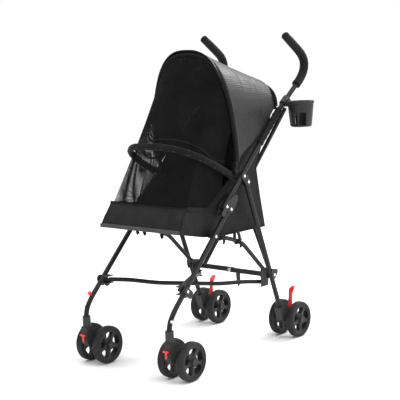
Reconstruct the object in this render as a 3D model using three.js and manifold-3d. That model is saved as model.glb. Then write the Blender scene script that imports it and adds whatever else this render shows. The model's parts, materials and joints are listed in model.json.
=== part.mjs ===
// Folding four-wheel pet stroller with an umbrella frame, in millimetres, +Z up.
// It stands facing -Y. "Left" and "right" are those of the person who pushes it, so left is +X.
import * as THREE from 'three';
import { mergeVertices } from 'three/addons/utils/BufferGeometryUtils.js';
import Module from 'manifold-3d';

const wasm = await Module();
wasm.setup();

// ---------------------------------------------------------------- driving dimensions
const ORIGIN_SHIFT = new THREE.Vector3(-28.05, -29.3, 0);
const GAP = 0.4;
const FRAME_X = 172;
const TUBE_R = 8;
const SEAT_TUBE_X = 156;
const SEAT_TUBE_R = 7;
const BRACE_R = 7;
const PLATE = 2.5;
const INNER_PLATE_X = 161;
const OUTER_PLATE_X = 180.5;
const PIN_R = 3;
const PIN_HOLE_R = 3.6;

// side frame, (y, z)
const HANDLE_FOOT = [-66, 484.5];
const HANDLE_BEND = [250, 770];
const HANDLE_TOP = [375, 862];
const GRIP_FOOT = [357, 849];
const GRIP_TIP = [299, 1013];
const GRIP_R = 14.5;
const LEG_TOP = [-20, 497];
const LEG_KNEE = [-318, 211];
const LEG_ELBOW = [-341, 178];
const LEG_FOOT = [-341, 141];
const REAR_LEG_TOP = [54, 566];
const REAR_LEG_FOOT = [240, 77];
const SEAT_TUBE_FRONT = [-118, 408];
const SEAT_TUBE_REAR = [168, 246];
const HANDLE_RIVET = [37, 577];
const REAR_LEG_RIVET = [58, 556];
const KNEE_UPPER_RIVET = [-58, 492];
const KNEE_LOWER_RIVET = [-37, 481];
const SEAT_RIVET = [-114, 407];

// wheels
const WHEEL_R = 60;
const WHEEL_W = 27;
const PAIR_HALF = 36;
const AXLE_R = 4;
const AXLE_HOLE_R = 4.5;
const CASTER_Y = -341;
const FRONT_AXLE_Y = -289;
const REAR_AXLE_Y = 287;

// cross bracing
const BRACE_REAR = new THREE.Vector3(138, 189, 200);
const BRACE_FRONT = new THREE.Vector3(147, -256, 264);
const BRACE_DIP = 9;
const CROSS_FOOT = new THREE.Vector3(150, 213, 222);
const CROSS_HEAD = new THREE.Vector3(150, 306, 775);
const CROSS_STEP = 16;
const STRUT_PIVOT = new THREE.Vector3(135, 188, 228);

// soft goods
const HOOP_PIVOT = [24, 592];
const HOOP_HALF = 168;
const HOOP_RISE = 372;
const HOOP_LEAN = -0.059;
const BUMPER_PIVOT = [30, 566];
const BUMPER_REACH = 258;
const BUMPER_LEAN = 0.486;
const CABIN_HALF = 146;
const CABIN_FLARE = 166;
const FABRIC = 3.5;

// cup holder
const CUP = new THREE.Vector3(236, 286, 715);
const CUP_TOP_R = 43;
const CUP_FOOT_R = 35;
const CUP_HEIGHT = 84;

// ---------------------------------------------------------------- materials
const finish = (name, color, roughness, metalness) =>
  new THREE.MeshStandardMaterial({ name, color, roughness, metalness });
const SATIN_TUBE = () => finish('satin black tube', 0x191919, 0.4, 0.6);
const MOULDED = () => finish('black plastic', 0x141414, 0.55, 0);
const FOAM = () => finish('foam grip', 0x101010, 0.95, 0);
const TYRE = () => finish('black wheel', 0x161616, 0.7, 0);
const RED = () => finish('red plastic', 0xd2151b, 0.4, 0);
const CLOTH = () => finish('black fabric', 0x17181a, 0.9, 0);

// ---------------------------------------------------------------- solids and booleans
function toManifold(geometry) {
  const bare = new THREE.BufferGeometry();
  bare.setAttribute('position', geometry.getAttribute('position').clone());
  if (geometry.index) bare.setIndex(geometry.index.clone());
  const merged = mergeVertices(bare, 1e-3);
  const positions = new Float32Array(merged.getAttribute('position').array);
  const corners = [];
  for (let i = 0; i < merged.index.count; i += 3) {
    const face = [merged.index.getX(i), merged.index.getX(i + 1), merged.index.getX(i + 2)];
    if (new Set(face).size === 3) corners.push(...face);
  }
  if (signedVolume(positions, corners) < 0) corners.reverse();
  const mesh = new wasm.Mesh({ numProp: 3, vertProperties: positions, triVerts: Uint32Array.from(corners) });
  return new wasm.Manifold(mesh);
}

function signedVolume(positions, corners) {
  const at = (i) => new THREE.Vector3().fromArray(positions, 3 * corners[i]);
  let total = 0;
  for (let i = 0; i < corners.length; i += 3) total += at(i).dot(at(i + 1).cross(at(i + 2)));
  return total;
}

function toGeometry(manifold) {
  const mesh = manifold.getMesh();
  const geometry = new THREE.BufferGeometry();
  geometry.setAttribute('position', new THREE.BufferAttribute(new Float32Array(mesh.vertProperties), 3));
  geometry.setIndex(new THREE.BufferAttribute(new Uint32Array(mesh.triVerts), 1));
  return geometry;
}

const join = (...pieces) => pieces.map(toManifold).reduce((sum, next) => sum.add(next));
const join3 = (...pieces) => toGeometry(join(...pieces));
const cut = (body, ...tools) =>
  toGeometry(tools.map(toManifold).reduce((sum, next) => sum.subtract(next), toManifold(body)));

// ---------------------------------------------------------------- basic shapes
const vec = (x, y, z) => new THREE.Vector3(x, y, z);
const onSide = (x, [y, z]) => vec(x, y, z);

// A path through given stops, one step of an extrusion for each.
class Route extends THREE.Curve {
  constructor(stops) {
    super();
    this.stops = stops;
  }

  getPoint(t, target = new THREE.Vector3()) {
    const place = t * (this.stops.length - 1);
    const i = Math.min(Math.floor(place), this.stops.length - 2);
    return target.lerpVectors(this.stops[i], this.stops[i + 1], place - i);
  }

  getPointAt(t, target) {
    return this.getPoint(t, target);
  }

  getTangentAt(t, target = new THREE.Vector3()) {
    const i = Math.round(t * (this.stops.length - 1));
    const before = this.stops[Math.max(i - 1, 0)];
    const after = this.stops[Math.min(i + 1, this.stops.length - 1)];
    return target.subVectors(after, before).normalize();
  }
}

// Corner points joined by straight runs, with each inner corner rounded.
function rounded(corners, reach, steps = 5) {
  const stops = [corners[0]];
  for (let i = 1; i < corners.length - 1; i += 1) {
    const corner = corners[i];
    const start = corner.clone().add(corners[i - 1].clone().sub(corner).setLength(reach));
    const end = corner.clone().add(corners[i + 1].clone().sub(corner).setLength(reach));
    const bend = new THREE.QuadraticBezierCurve3(start, corner, end);
    stops.push(...bend.getPoints(steps));
  }
  stops.push(corners[corners.length - 1]);
  return stops;
}

function tube(stops, radius, sides = 12) {
  const section = new THREE.Shape();
  section.absarc(0, 0, radius, 0, 2 * Math.PI);
  const route = new Route(stops);
  return new THREE.ExtrudeGeometry(section, {
    curveSegments: sides / 2, steps: stops.length - 1, extrudePath: route, bevelEnabled: false,
  });
}

const rod = (from, to, radius, sides = 10) => {
  const length = from.distanceTo(to);
  const geometry = new THREE.CylinderGeometry(radius, radius, length, sides);
  const turn = new THREE.Quaternion().setFromUnitVectors(vec(0, 1, 0), to.clone().sub(from).normalize());
  const middle = from.clone().add(to).multiplyScalar(0.5);
  return geometry.applyQuaternion(turn).translate(middle.x, middle.y, middle.z);
};

const box = (low, high) => {
  const size = high.clone().sub(low);
  const middle = low.clone().add(high).multiplyScalar(0.5);
  return new THREE.BoxGeometry(size.x, size.y, size.z).translate(middle.x, middle.y, middle.z);
};

// A flat or gently warped polygon made thick along one direction.
function slab(points, thick) {
  const axis = ['x', 'y', 'z'].reduce((a, b) => (Math.abs(thick[a]) >= Math.abs(thick[b]) ? a : b));
  const [p, q] = { x: ['y', 'z'], y: ['z', 'x'], z: ['x', 'y'] }[axis];
  let outline = points;
  const flat = (list) => list.map((point) => new THREE.Vector2(point[p], point[q]));
  if (THREE.ShapeUtils.isClockWise(flat(outline))) outline = [...outline].reverse();
  const count = outline.length;
  const caps = THREE.ShapeUtils.triangulateShape(flat(outline), []);
  const vertices = [...outline, ...outline.map((point) => point.clone().add(thick))];
  const index = [];
  for (const [a, b, c] of caps) index.push(a, c, b, a + count, b + count, c + count);
  for (let i = 0; i < count; i += 1) {
    const next = (i + 1) % count;
    index.push(i, next, next + count, i, next + count, i + count);
  }
  const geometry = new THREE.BufferGeometry().setFromPoints(vertices);
  geometry.setIndex(index);
  return geometry;
}

// A rounded plate through two or more centres of one radius, standing in the YZ plane.
function sidePlate(centres, radius, x, thickness = PLATE) {
  const hull = [];
  const count = 12;
  for (const [y, z] of centres) {
    for (let i = 0; i < count; i += 1) {
      const angle = (2 * Math.PI * i) / count;
      hull.push([y + radius * Math.cos(angle), z + radius * Math.sin(angle)]);
    }
  }
  return slab(convexOutline(hull).map((point) => onSide(x, point)), vec(thickness, 0, 0));
}

function convexOutline(points) {
  const sorted = [...points].sort((a, b) => a[0] - b[0] || a[1] - b[1]);
  const turnsLeft = (o, a, b) => (a[0] - o[0]) * (b[1] - o[1]) - (a[1] - o[1]) * (b[0] - o[0]) > 1e-6;
  const half = (list) => {
    const chain = [];
    for (const point of list) {
      while (chain.length > 1 && !turnsLeft(chain[chain.length - 2], chain[chain.length - 1], point)) {
        chain.pop();
      }
      chain.push(point);
    }
    chain.pop();
    return chain;
  };
  return [...half(sorted), ...half([...sorted].reverse())];
}

// A rivet head: a short cone frustum that stands out along X.
function rivet([y, z], x, direction = 1, radius = 4.5) {
  const height = 2.6;
  const geometry = new THREE.CylinderGeometry(radius * 0.6, radius, height, 10);
  geometry.rotateZ(-direction * Math.PI / 2);
  return geometry.translate(x + direction * (height / 2 - 0.6), y, z);
}

// A thin curved sheet: pointAt(u, v) gives its outer face, and it is thick towards its inside.
function sheet(pointAt, across, along, thickness, inwards) {
  const outer = [];
  for (let i = 0; i <= across; i += 1) {
    for (let j = 0; j <= along; j += 1) outer.push(pointAt(i / across, j / along));
  }
  const inner = outer.map((point) => point.clone().add(inwards(point).multiplyScalar(thickness)));
  const width = along + 1;
  const total = outer.length;
  const index = [];
  const quad = (a, b, c, d) => index.push(a, b, c, a, c, d);
  for (let i = 0; i < across; i += 1) {
    for (let j = 0; j < along; j += 1) {
      const a = i * width + j;
      quad(a, a + 1, a + width + 1, a + width);
      quad(total + a, total + a + width, total + a + width + 1, total + a + 1);
    }
  }
  for (let j = 0; j < along; j += 1) {
    const last = across * width + j;
    quad(j, total + j, total + j + 1, j + 1);
    quad(last, last + 1, total + last + 1, total + last);
  }
  for (let i = 0; i < across; i += 1) {
    const a = i * width;
    const b = a + along;
    quad(a, a + width, total + a + width, total + a);
    quad(b, total + b, total + b + width, b + width);
  }
  const geometry = new THREE.BufferGeometry().setFromPoints([...outer, ...inner]);
  geometry.setIndex(index);
  return geometry;
}

// ---------------------------------------------------------------- the assembly
const stroller = new THREE.Group();
stroller.position.copy(ORIGIN_SHIFT);

function add(name, geometry, material) {
  const mesh = new THREE.Mesh(toGeometry(toManifold(geometry)), material);
  mesh.name = name;
  stroller.add(mesh);
}

// The left half is modelled at +X, and the right half is its mirror image.
const mirrored = (geometry) => geometry.clone().scale(-1, 1, 1);

function addPair(name, geometry, material) {
  add(`left_${name}`, geometry, material());
  add(`right_${name}`, mirrored(geometry), material());
}

// ---- side frame tubes
const handleRoute = rounded(
  [onSide(FRAME_X, HANDLE_FOOT), onSide(FRAME_X, HANDLE_BEND), onSide(FRAME_X, HANDLE_TOP)], 30, 4,
);
addPair('handle_tube', tube(handleRoute, TUBE_R), SATIN_TUBE);

const gripCurve = new THREE.CatmullRomCurve3([
  onSide(FRAME_X, GRIP_FOOT), vec(FRAME_X, 381, 866.7), vec(FRAME_X, 402, 891),
  vec(FRAME_X, 409, 919), vec(FRAME_X, 397, 944), vec(FRAME_X, 369, 967), onSide(FRAME_X, GRIP_TIP),
], false, 'centripetal');
const gripSolid = tube(gripCurve.getSpacedPoints(13), GRIP_R);
const socketEnd = onSide(FRAME_X, HANDLE_TOP).lerp(onSide(FRAME_X, HANDLE_BEND), -0.01);
const socketStart = onSide(FRAME_X, HANDLE_TOP).lerp(onSide(FRAME_X, HANDLE_BEND), 0.3);
addPair('grip', cut(gripSolid, rod(socketStart, socketEnd, TUBE_R + 0.7)), FOAM);

const frontLegRoute = rounded([LEG_TOP, LEG_KNEE, LEG_ELBOW, LEG_FOOT].map((p) => onSide(FRAME_X, p)), 16, 4);
const frontLeg = join3(tube(frontLegRoute, TUBE_R), rivet(SEAT_RIVET, FRAME_X + TUBE_R));
addPair('front_leg', frontLeg, SATIN_TUBE);

const rearLegEnds = [REAR_LEG_TOP, REAR_LEG_FOOT].map((p) => onSide(FRAME_X, p));
addPair('rear_leg', rod(...rearLegEnds, TUBE_R), SATIN_TUBE);

const seatTubeRoute = rounded(
  [SEAT_TUBE_FRONT, [-20, 384], [48, 360], SEAT_TUBE_REAR].map((p) => onSide(SEAT_TUBE_X, p)), 26, 4,
);
addPair('seat_tube', tube(seatTubeRoute, SEAT_TUBE_R), SATIN_TUBE);

// ---- joint brackets: two cheek plates held together by a spacer pin between the tubes
const between = (a, b, share = 0.5) => [a[0] + (b[0] - a[0]) * share, a[1] + (b[1] - a[1]) * share];
const cheeks = (centres, radius) => [
  sidePlate(centres, radius, INNER_PLATE_X),
  sidePlate(centres, radius, OUTER_PLATE_X),
];
const spacer = (point, radius) =>
  rod(onSide(INNER_PLATE_X + 1, point), onSide(OUTER_PLATE_X + 1, point), radius);
const pivotStub = (point, tip) => [
  rod(onSide(tip, point), onSide(INNER_PLATE_X + 1, point), PIN_R),
  rod(onSide(tip - 1.6, point), onSide(tip, point), PIN_R + 2.5),
];

const pivotBracket = join3(
  ...cheeks([HANDLE_RIVET, REAR_LEG_RIVET], 12.5),
  sidePlate([HOOP_PIVOT, BUMPER_PIVOT, HANDLE_RIVET], 7.5, INNER_PLATE_X),
  spacer([44.5, 568], PIN_R),
  ...pivotStub(HOOP_PIVOT, 153.2),
  ...pivotStub(BUMPER_PIVOT, 146.6),
  rivet(HANDLE_RIVET, OUTER_PLATE_X + PLATE),
  rivet(REAR_LEG_RIVET, OUTER_PLATE_X + PLATE),
);
addPair('pivot_bracket', pivotBracket, MOULDED);

const kneeBracket = join3(
  ...cheeks([KNEE_UPPER_RIVET, KNEE_LOWER_RIVET, [-12, 512]], 12.5),
  ...cheeks([KNEE_UPPER_RIVET, [-74, 472]], 9),
  spacer([-77, 470], 3.5),
  rivet(KNEE_UPPER_RIVET, OUTER_PLATE_X + PLATE),
  rivet(KNEE_LOWER_RIVET, OUTER_PLATE_X + PLATE),
);
addPair('knee_bracket', kneeBracket, MOULDED);

// ---- rear corner bracket: holds the rear leg and seat tube, and carries three cross-member pivots
const INNER_CORNER_X = 146;
const crossAxis = vec(0, CROSS_HEAD.z - CROSS_FOOT.z, CROSS_FOOT.y - CROSS_HEAD.y).normalize();
const braceEar = (z) => rod(
  vec(BRACE_REAR.x, BRACE_REAR.y, z), vec(BRACE_REAR.x, BRACE_REAR.y, z + PLATE), 10, 12,
);
const braceEarBridge = (z) => box(vec(BRACE_REAR.x, 180, z), vec(INNER_CORNER_X + 2, 198, z + PLATE));
const strutEar = (y) => join3(
  rod(vec(STRUT_PIVOT.x, y, STRUT_PIVOT.z), vec(STRUT_PIVOT.x, y + PLATE, STRUT_PIVOT.z), 9.5, 12),
  box(vec(STRUT_PIVOT.x, y, STRUT_PIVOT.z - 9), vec(INNER_CORNER_X + 2, y + PLATE, STRUT_PIVOT.z + 9)),
);
const EAR_GAP = BRACE_R + 0.8;

function cornerBracket(crossDepth) {
  const cross = CROSS_FOOT.clone().addScaledVector(crossAxis, crossDepth);
  const earFace = CROSS_FOOT.clone().addScaledVector(crossAxis, -BRACE_R - 1);
  const pinEnd = cross.clone().addScaledVector(crossAxis, BRACE_R + 1.4);
  return join3(
    slab([[160, 189], [199, 189], [203, 212], [203, 241], [192, 250], [160, 250]]
      .map((p) => onSide(INNER_CORNER_X, p)), vec(PLATE, 0, 0)),
    sidePlate([[186, 224], [182, 240], [198, 238]], 10, OUTER_PLATE_X),
    rod(vec(INNER_CORNER_X + 1, 200, 243), vec(OUTER_PLATE_X + 1, 200, 243), PIN_R),
    rivet([187, 229], OUTER_PLATE_X + PLATE),
    braceEar(BRACE_REAR.z - EAR_GAP - PLATE),
    braceEar(BRACE_REAR.z + EAR_GAP),
    braceEarBridge(BRACE_REAR.z - EAR_GAP - PLATE),
    braceEarBridge(BRACE_REAR.z + EAR_GAP),
    rod(vec(BRACE_REAR.x, BRACE_REAR.y, BRACE_REAR.z - EAR_GAP - 1),
      vec(BRACE_REAR.x, BRACE_REAR.y, BRACE_REAR.z + EAR_GAP + 1), PIN_R),
    strutEar(177),
    strutEar(196.5),
    rod(vec(STRUT_PIVOT.x, 178, STRUT_PIVOT.z), vec(STRUT_PIVOT.x, 198, STRUT_PIVOT.z), PIN_R),
    rod(earFace.clone().addScaledVector(crossAxis, -PLATE), earFace, 10.5, 12),
    rod(earFace.clone().addScaledVector(crossAxis, -1), pinEnd, PIN_R),
    rod(pinEnd, pinEnd.clone().addScaledVector(crossAxis, 1.8), PIN_R + 2.5),
    box(vec(INNER_CORNER_X, 200.5, 212), vec(INNER_CORNER_X + 12, 203, 232)),
  );
}
add('left_corner_bracket', cornerBracket(0), MOULDED());
add('right_corner_bracket', mirrored(cornerBracket(CROSS_STEP)), MOULDED());

// ---- front clip: an open fork on the front leg that the crossing brace's end rests in
const CLIP_GAP = BRACE_R + 3.2;
const clipCentre = [-263, 264];
const clipSpacer = [clipCentre[0] + 9.2, clipCentre[1] - 9.6];
const clipEar = (z) => box(vec(141, -270, z), vec(INNER_PLATE_X + 1, -242, z + PLATE));
const braceClip = join3(
  ...cheeks([clipCentre, [-250, 252]], 13),
  spacer(clipSpacer, PIN_R),
  clipEar(BRACE_FRONT.z - CLIP_GAP - PLATE),
  clipEar(BRACE_FRONT.z + CLIP_GAP),
  rivet(clipCentre, OUTER_PLATE_X + PLATE),
);
addPair('brace_clip', braceClip, MOULDED);

// ---- bottom braces: each is pinned at a rear corner and reaches the opposite front leg
function bottomBrace(side) {
  const rear = vec(BRACE_REAR.x * side, BRACE_REAR.y, BRACE_REAR.z);
  const front = vec(-BRACE_FRONT.x * side, BRACE_FRONT.y, BRACE_FRONT.z);
  const steps = 14;
  const stops = [];
  for (let i = 0; i <= steps; i += 1) {
    const share = i / steps;
    const bow = THREE.MathUtils.smoothstep(share, 0.08, 0.34) - THREE.MathUtils.smoothstep(share, 0.66, 0.92);
    const stop = rear.clone().lerp(front, share);
    stops.push(stop.add(vec(0, 0, -side * BRACE_DIP * bow)));
  }
  stops[1].z = stops[0].z + (stops[1].z - stops[0].z) * 0.3;
  const ends = join3(
    tube(stops, BRACE_R, 10),
    rod(rear.clone().setZ(rear.z - BRACE_R), rear.clone().setZ(rear.z + BRACE_R), BRACE_R, 10),
  );
  return cut(ends, rod(rear.clone().setZ(rear.z - 20), rear.clone().setZ(rear.z + 20), PIN_HOLE_R));
}
add('left_bottom_brace', bottomBrace(1), SATIN_TUBE());
add('right_bottom_brace', bottomBrace(-1), SATIN_TUBE());

// ---- rear crossed tubes: each is pinned at a rear corner and reaches the opposite handle
function rearBrace(side, depth) {
  const foot = vec(CROSS_FOOT.x * side, CROSS_FOOT.y, CROSS_FOOT.z).addScaledVector(crossAxis, depth);
  const head = vec(-CROSS_HEAD.x * side, CROSS_HEAD.y, CROSS_HEAD.z).addScaledVector(crossAxis, depth);
  const start = foot.clone().addScaledVector(crossAxis, -BRACE_R);
  const end = foot.clone().addScaledVector(crossAxis, BRACE_R);
  const body = join3(rod(foot, head, BRACE_R), rod(start, end, BRACE_R + 1));
  return cut(body, rod(start.addScaledVector(crossAxis, -5), end.addScaledVector(crossAxis, 5), PIN_HOLE_R));
}
add('left_rear_brace', rearBrace(1, 0), SATIN_TUBE());
add('right_rear_brace', rearBrace(-1, CROSS_STEP), SATIN_TUBE());

// ---- rear strut: two flat arms that meet at the middle and fold upwards
const STRUT_ARM = 6.4;
function strutArm(side, y, reach) {
  const arm = join3(
    box(vec(-reach, y, STRUT_PIVOT.z - 8), vec(STRUT_PIVOT.x, y + STRUT_ARM, STRUT_PIVOT.z + 8)),
    rod(vec(STRUT_PIVOT.x, y, STRUT_PIVOT.z), vec(STRUT_PIVOT.x, y + STRUT_ARM, STRUT_PIVOT.z), 8, 16),
  );
  const bored = cut(arm, rod(
    vec(STRUT_PIVOT.x, y - 5, STRUT_PIVOT.z), vec(STRUT_PIVOT.x, y + 15, STRUT_PIVOT.z), PIN_HOLE_R,
  ));
  return side > 0 ? bored : mirrored(bored);
}
const frontArm = join3(
  strutArm(1, 181, 12),
  new THREE.CylinderGeometry(4, 6.5, 3, 12).rotateX(Math.PI).rotateX(-Math.PI / 2)
    .translate(0, 179.8, STRUT_PIVOT.z),
);
add('left_strut', frontArm, SATIN_TUBE());
add('right_strut', strutArm(-1, 188.2, 12), SATIN_TUBE());

const release = slab(
  [[26, 219], [42, 219], [42, 196], [46, 186], [34, 174], [28, 196]].map(([x, z]) => vec(x, 182, z)),
  vec(0, 4, 0),
);
add('strut_release', release, MOULDED());

// ---- casters
const collar = cut(
  join3(
    rod(onSide(FRAME_X, [CASTER_Y, 128]), onSide(FRAME_X, [CASTER_Y, 160]), 13, 20),
    rivet([CASTER_Y, 151], FRAME_X + 12.4, 1, 3.8),
  ),
  rod(onSide(FRAME_X, [CASTER_Y, 140]), onSide(FRAME_X, [CASTER_Y, 170]), TUBE_R + 0.6),
  rod(onSide(FRAME_X, [CASTER_Y, 120]), onSide(FRAME_X, [CASTER_Y, 137]), 5.6),
);
addPair('caster_collar', collar, MOULDED);

const FORK_HALF = 12;
const forkOutline = [
  [-14, 127], [13, 127], [24, 112], [66, 74], [68, 58], [60, 47], [46, 46], [16, 60], [-2, 62], [-15, 76],
];
const forkBlade = slab(
  forkOutline.map(([y, z]) => vec(FRAME_X - FORK_HALF, CASTER_Y + y, z)), vec(2 * FORK_HALF, 0, 0),
);
const frontAxlePoint = [FRONT_AXLE_Y, WHEEL_R];
const fork = cut(
  join3(forkBlade, rod(onSide(FRAME_X, [CASTER_Y, 120]), onSide(FRAME_X, [CASTER_Y, 135]), 5)),
  rod(onSide(FRAME_X - 20, frontAxlePoint), onSide(FRAME_X + 20, frontAxlePoint), AXLE_HOLE_R),
);
addPair('caster_fork', fork, MOULDED);

const lockY = CASTER_Y - 16.2;
const lockLever = join3(
  box(vec(FRAME_X - 3.5, lockY - 3.2, 78), vec(FRAME_X + 3.5, lockY, 102)),
  box(vec(FRAME_X - 10, lockY - 7.5, 99), vec(FRAME_X + 10, lockY, 104)),
);
addPair('caster_lock', lockLever, RED);

// ---- wheels and axles
const arcPoints = (radius, from, to, count) => Array.from({ length: count + 1 }, (_, i) => {
  const angle = from + ((to - from) * i) / count;
  return new THREE.Vector2(radius * Math.cos(angle), radius * Math.sin(angle));
});

function wheelGeometry() {
  const fullTurn = 2 * Math.PI;
  const outline = new THREE.Shape(arcPoints(WHEEL_R, 0, fullTurn, 24).slice(1));
  const spokes = 5;
  for (let i = 0; i < spokes; i += 1) {
    const middle = Math.PI / 2 + (fullTurn * i) / spokes;
    const outside = arcPoints(41, middle - 0.4, middle + 0.4, 3);
    const inside = arcPoints(23, middle + 0.22, middle - 0.22, 1);
    outline.holes.push(new THREE.Path([...outside, ...inside]));
  }
  outline.holes.push(new THREE.Path(arcPoints(AXLE_HOLE_R, 0, fullTurn, 8).slice(1)));
  return new THREE.ExtrudeGeometry(outline, { depth: WHEEL_W, bevelEnabled: false })
    .rotateY(Math.PI / 2).translate(-WHEEL_W / 2, 0, 0);
}

function axleGeometry() {
  const half = PAIR_HALF + WHEEL_W / 2;
  const cap = half + GAP;
  return new THREE.LatheGeometry([
    new THREE.Vector2(0, -cap - 3), new THREE.Vector2(10, -cap - 3), new THREE.Vector2(12, -cap),
    new THREE.Vector2(AXLE_R, -cap), new THREE.Vector2(AXLE_R, cap),
    new THREE.Vector2(12, cap), new THREE.Vector2(10, cap + 3), new THREE.Vector2(0, cap + 3),
  ], 10).rotateZ(Math.PI / 2);
}

const wheel = wheelGeometry();
const axle = axleGeometry();
for (const [end, y] of [['front', FRONT_AXLE_Y], ['rear', REAR_AXLE_Y]]) {
  addPair(`${end}_axle`, axle.clone().translate(FRAME_X, y, WHEEL_R), MOULDED);
  addPair(`${end}_wheel_outer`, wheel.clone().translate(FRAME_X + PAIR_HALF, y, WHEEL_R), TYRE);
  addPair(`${end}_wheel_inner`, wheel.clone().translate(FRAME_X - PAIR_HALF, y, WHEEL_R), TYRE);
}

// ---- rear housings and brake pedals
const HOUSING_HALF = 13;
const housingOutline = [
  [214, 108], [240, 122], [272, 96], [276, 86], [298, 76], [300, 52], [288, 44], [252, 50], [226, 66],
];
const rearAxlePoint = [REAR_AXLE_Y, WHEEL_R];
const rearHousing = cut(
  slab(housingOutline.map((p) => onSide(FRAME_X - HOUSING_HALF, p)), vec(2 * HOUSING_HALF, 0, 0)),
  rod(onSide(FRAME_X, REAR_LEG_FOOT).add(vec(0, 1, -2.6)), onSide(FRAME_X, REAR_LEG_TOP), TUBE_R + 0.6),
  rod(onSide(FRAME_X - 20, rearAxlePoint), onSide(FRAME_X + 20, rearAxlePoint), AXLE_HOLE_R),
);
addPair('rear_housing', rearHousing, MOULDED);

const pedalOutline = [
  [281, 99], [284, 93], [296, 88], [299, 104], [298, 128], [300, 143], [309, 156], [318, 161],
  [315, 168], [303, 166], [292, 152], [288, 138], [288, 120], [284, 108],
];
const pedal = slab(pedalOutline.map((p) => onSide(FRAME_X - 10, p)), vec(20, 0, 0));
addPair('brake_pedal', pedal, RED);

// ---- arches of the hood and the bumper bar
const archShare = (t, power) => [
  Math.sign(Math.cos(t)) * Math.abs(Math.cos(t)) ** (2 / power),
  Math.abs(Math.sin(t)) ** (2 / power),
];

function archStops(half, rise, power, base, direction, tuck, count) {
  const stops = [];
  for (let i = 0; i <= count; i += 1) {
    const [across, up] = archShare((Math.PI * i) / count, power);
    const height = up * rise;
    const squeeze = tuck * Math.max(0, 1 - height / 60) ** 2;
    const [y, z] = [base[0] + direction[0] * height, base[1] + direction[1] * height];
    stops.push(vec(across * (half - squeeze), y, z));
  }
  return stops;
}

const lug = (side, [from, to], centres, radius) => {
  const plate = sidePlate(centres, radius, from, to - from);
  return side > 0 ? plate : mirrored(plate);
};
const lugHole = (side, point) => rod(
  vec(side * 140, point[0], point[1]), vec(side * 166, point[0], point[1]), PIN_HOLE_R,
);

// A bent tube that hangs on a pivot at each end by a flat arm, clear of the pivot's own plates.
function pivotedArch({ stops, radius, pivot, arm, armRadius, armReach }) {
  const pivotDistance = (stop) => Math.hypot(stop.y - pivot[0], stop.z - pivot[1]);
  const bend = stops.filter((stop) => pivotDistance(stop) >= armReach - 8);
  const heel = [bend[1].y, bend[1].z];
  const whole = join3(
    tube(bend, radius, 8),
    lug(1, arm, [pivot, heel], armRadius),
    lug(-1, arm, [pivot, heel], armRadius),
  );
  return cut(whole, lugHole(1, pivot), lugHole(-1, pivot));
}

const hoopStops = archStops(
  HOOP_HALF, HOOP_RISE, 2.7, HOOP_PIVOT, [Math.sin(HOOP_LEAN), Math.cos(HOOP_LEAN)], 11, 22,
);
add('canopy_hoop', pivotedArch({
  stops: hoopStops, radius: 4, pivot: HOOP_PIVOT, arm: [154, 160], armRadius: 7, armReach: 22,
}), SATIN_TUBE());

const bumperStops = archStops(
  160, BUMPER_REACH, 3, BUMPER_PIVOT, [-Math.cos(BUMPER_LEAN), Math.sin(BUMPER_LEAN)], 6, 22,
);
add('bumper_bar', pivotedArch({
  stops: bumperStops, radius: 8, pivot: BUMPER_PIVOT, arm: [147.2, 152], armRadius: 8, armReach: 60,
}), CLOTH());

const REAR_ARCH_HALF = 158;
const REAR_ARCH_RISE = 90;
const REAR_ARCH_LEAN = [0.12, 0.99];
const rearArchStops = archStops(REAR_ARCH_HALF, REAR_ARCH_RISE, 2.6, [252, 776], REAR_ARCH_LEAN, 0, 16);
const archFoot = (side) => rod(vec(side * 154, 252, 774), vec(side * 163.4, 252, 774), 5);
add('rear_arch', join3(tube(rearArchStops, 3.5, 8), archFoot(1), archFoot(-1)), SATIN_TUBE());

// ---- canopy: three panels between the front hoop and the rear arch
const CANOPY_HALF = 166;
function frontEdge(v) {
  const [across, up] = archShare(Math.PI * (0.02 + 0.96 * v), 2.7);
  return vec(across * CANOPY_HALF, HOOP_PIVOT[0] + up * 378 * Math.sin(HOOP_LEAN),
    HOOP_PIVOT[1] + 4 + up * 378 * Math.cos(HOOP_LEAN));
}

function rearEdge(v) {
  const [across, up] = archShare(Math.PI * (0.02 + 0.96 * v), 3.4);
  const sleeve = Math.min(up / 0.55, 1);
  const y = THREE.MathUtils.lerp(142, 254, sleeve);
  const z = THREE.MathUtils.lerp(690, 786, sleeve) + Math.max(0, up - 0.55) / 0.45 * 92;
  return vec(across * CANOPY_HALF, y + Math.max(0, up - 0.55) * 18, z);
}

const toCore = (point) => vec(0, 100, 680).sub(point).normalize();
function canopyPanel(from, to) {
  const pointAt = (u, v) => frontEdge(v).lerp(rearEdge(v), from + (to - from) * u);
  return sheet(pointAt, 1, 18, 2.4, toCore);
}
add('canopy_front_panel', canopyPanel(0.06, 0.355), CLOTH());
add('canopy_middle_panel', canopyPanel(0.36, 0.655), CLOTH());
add('canopy_rear_panel', canopyPanel(0.66, 0.955), CLOTH());

// ---- cabin: floor, front apron, two sides and a back that closes the rear arch; open in front and on top
const FLARE_FROM = -136;
const APRON_FOOT = [-266, 436];
const APRON_TOP = [-222, 506];
const cabinHalfAt = (y) =>
  THREE.MathUtils.mapLinear(Math.min(y, FLARE_FROM), FLARE_FROM, APRON_FOOT[0], CABIN_HALF, CABIN_FLARE);
const floorLine = [APRON_FOOT, [FLARE_FROM, 407], [-60, 396], [190, 392]];
const backLine = [[190, 392], [150, 592], [226, 724], [250, 777]];
const wallTopRear = [[228, 764], [150, 696], [60, 612], [44, 580], [44, 562]];
const wallTopFront = [[-50, 505], [-110, 484], [FLARE_FROM, 489]];
const wallPanels = [
  [...floorLine.slice(1), ...backLine.slice(1), ...wallTopRear, ...wallTopFront],
  [APRON_FOOT, [FLARE_FROM, 407], [FLARE_FROM, 489], APRON_TOP],
];
const cabinWall = (side) => wallPanels.map((outline) => slab(
  outline.map(([y, z]) => vec(side * cabinHalfAt(y), y, z)), vec(-side * FABRIC, 0, 0),
));
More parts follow.
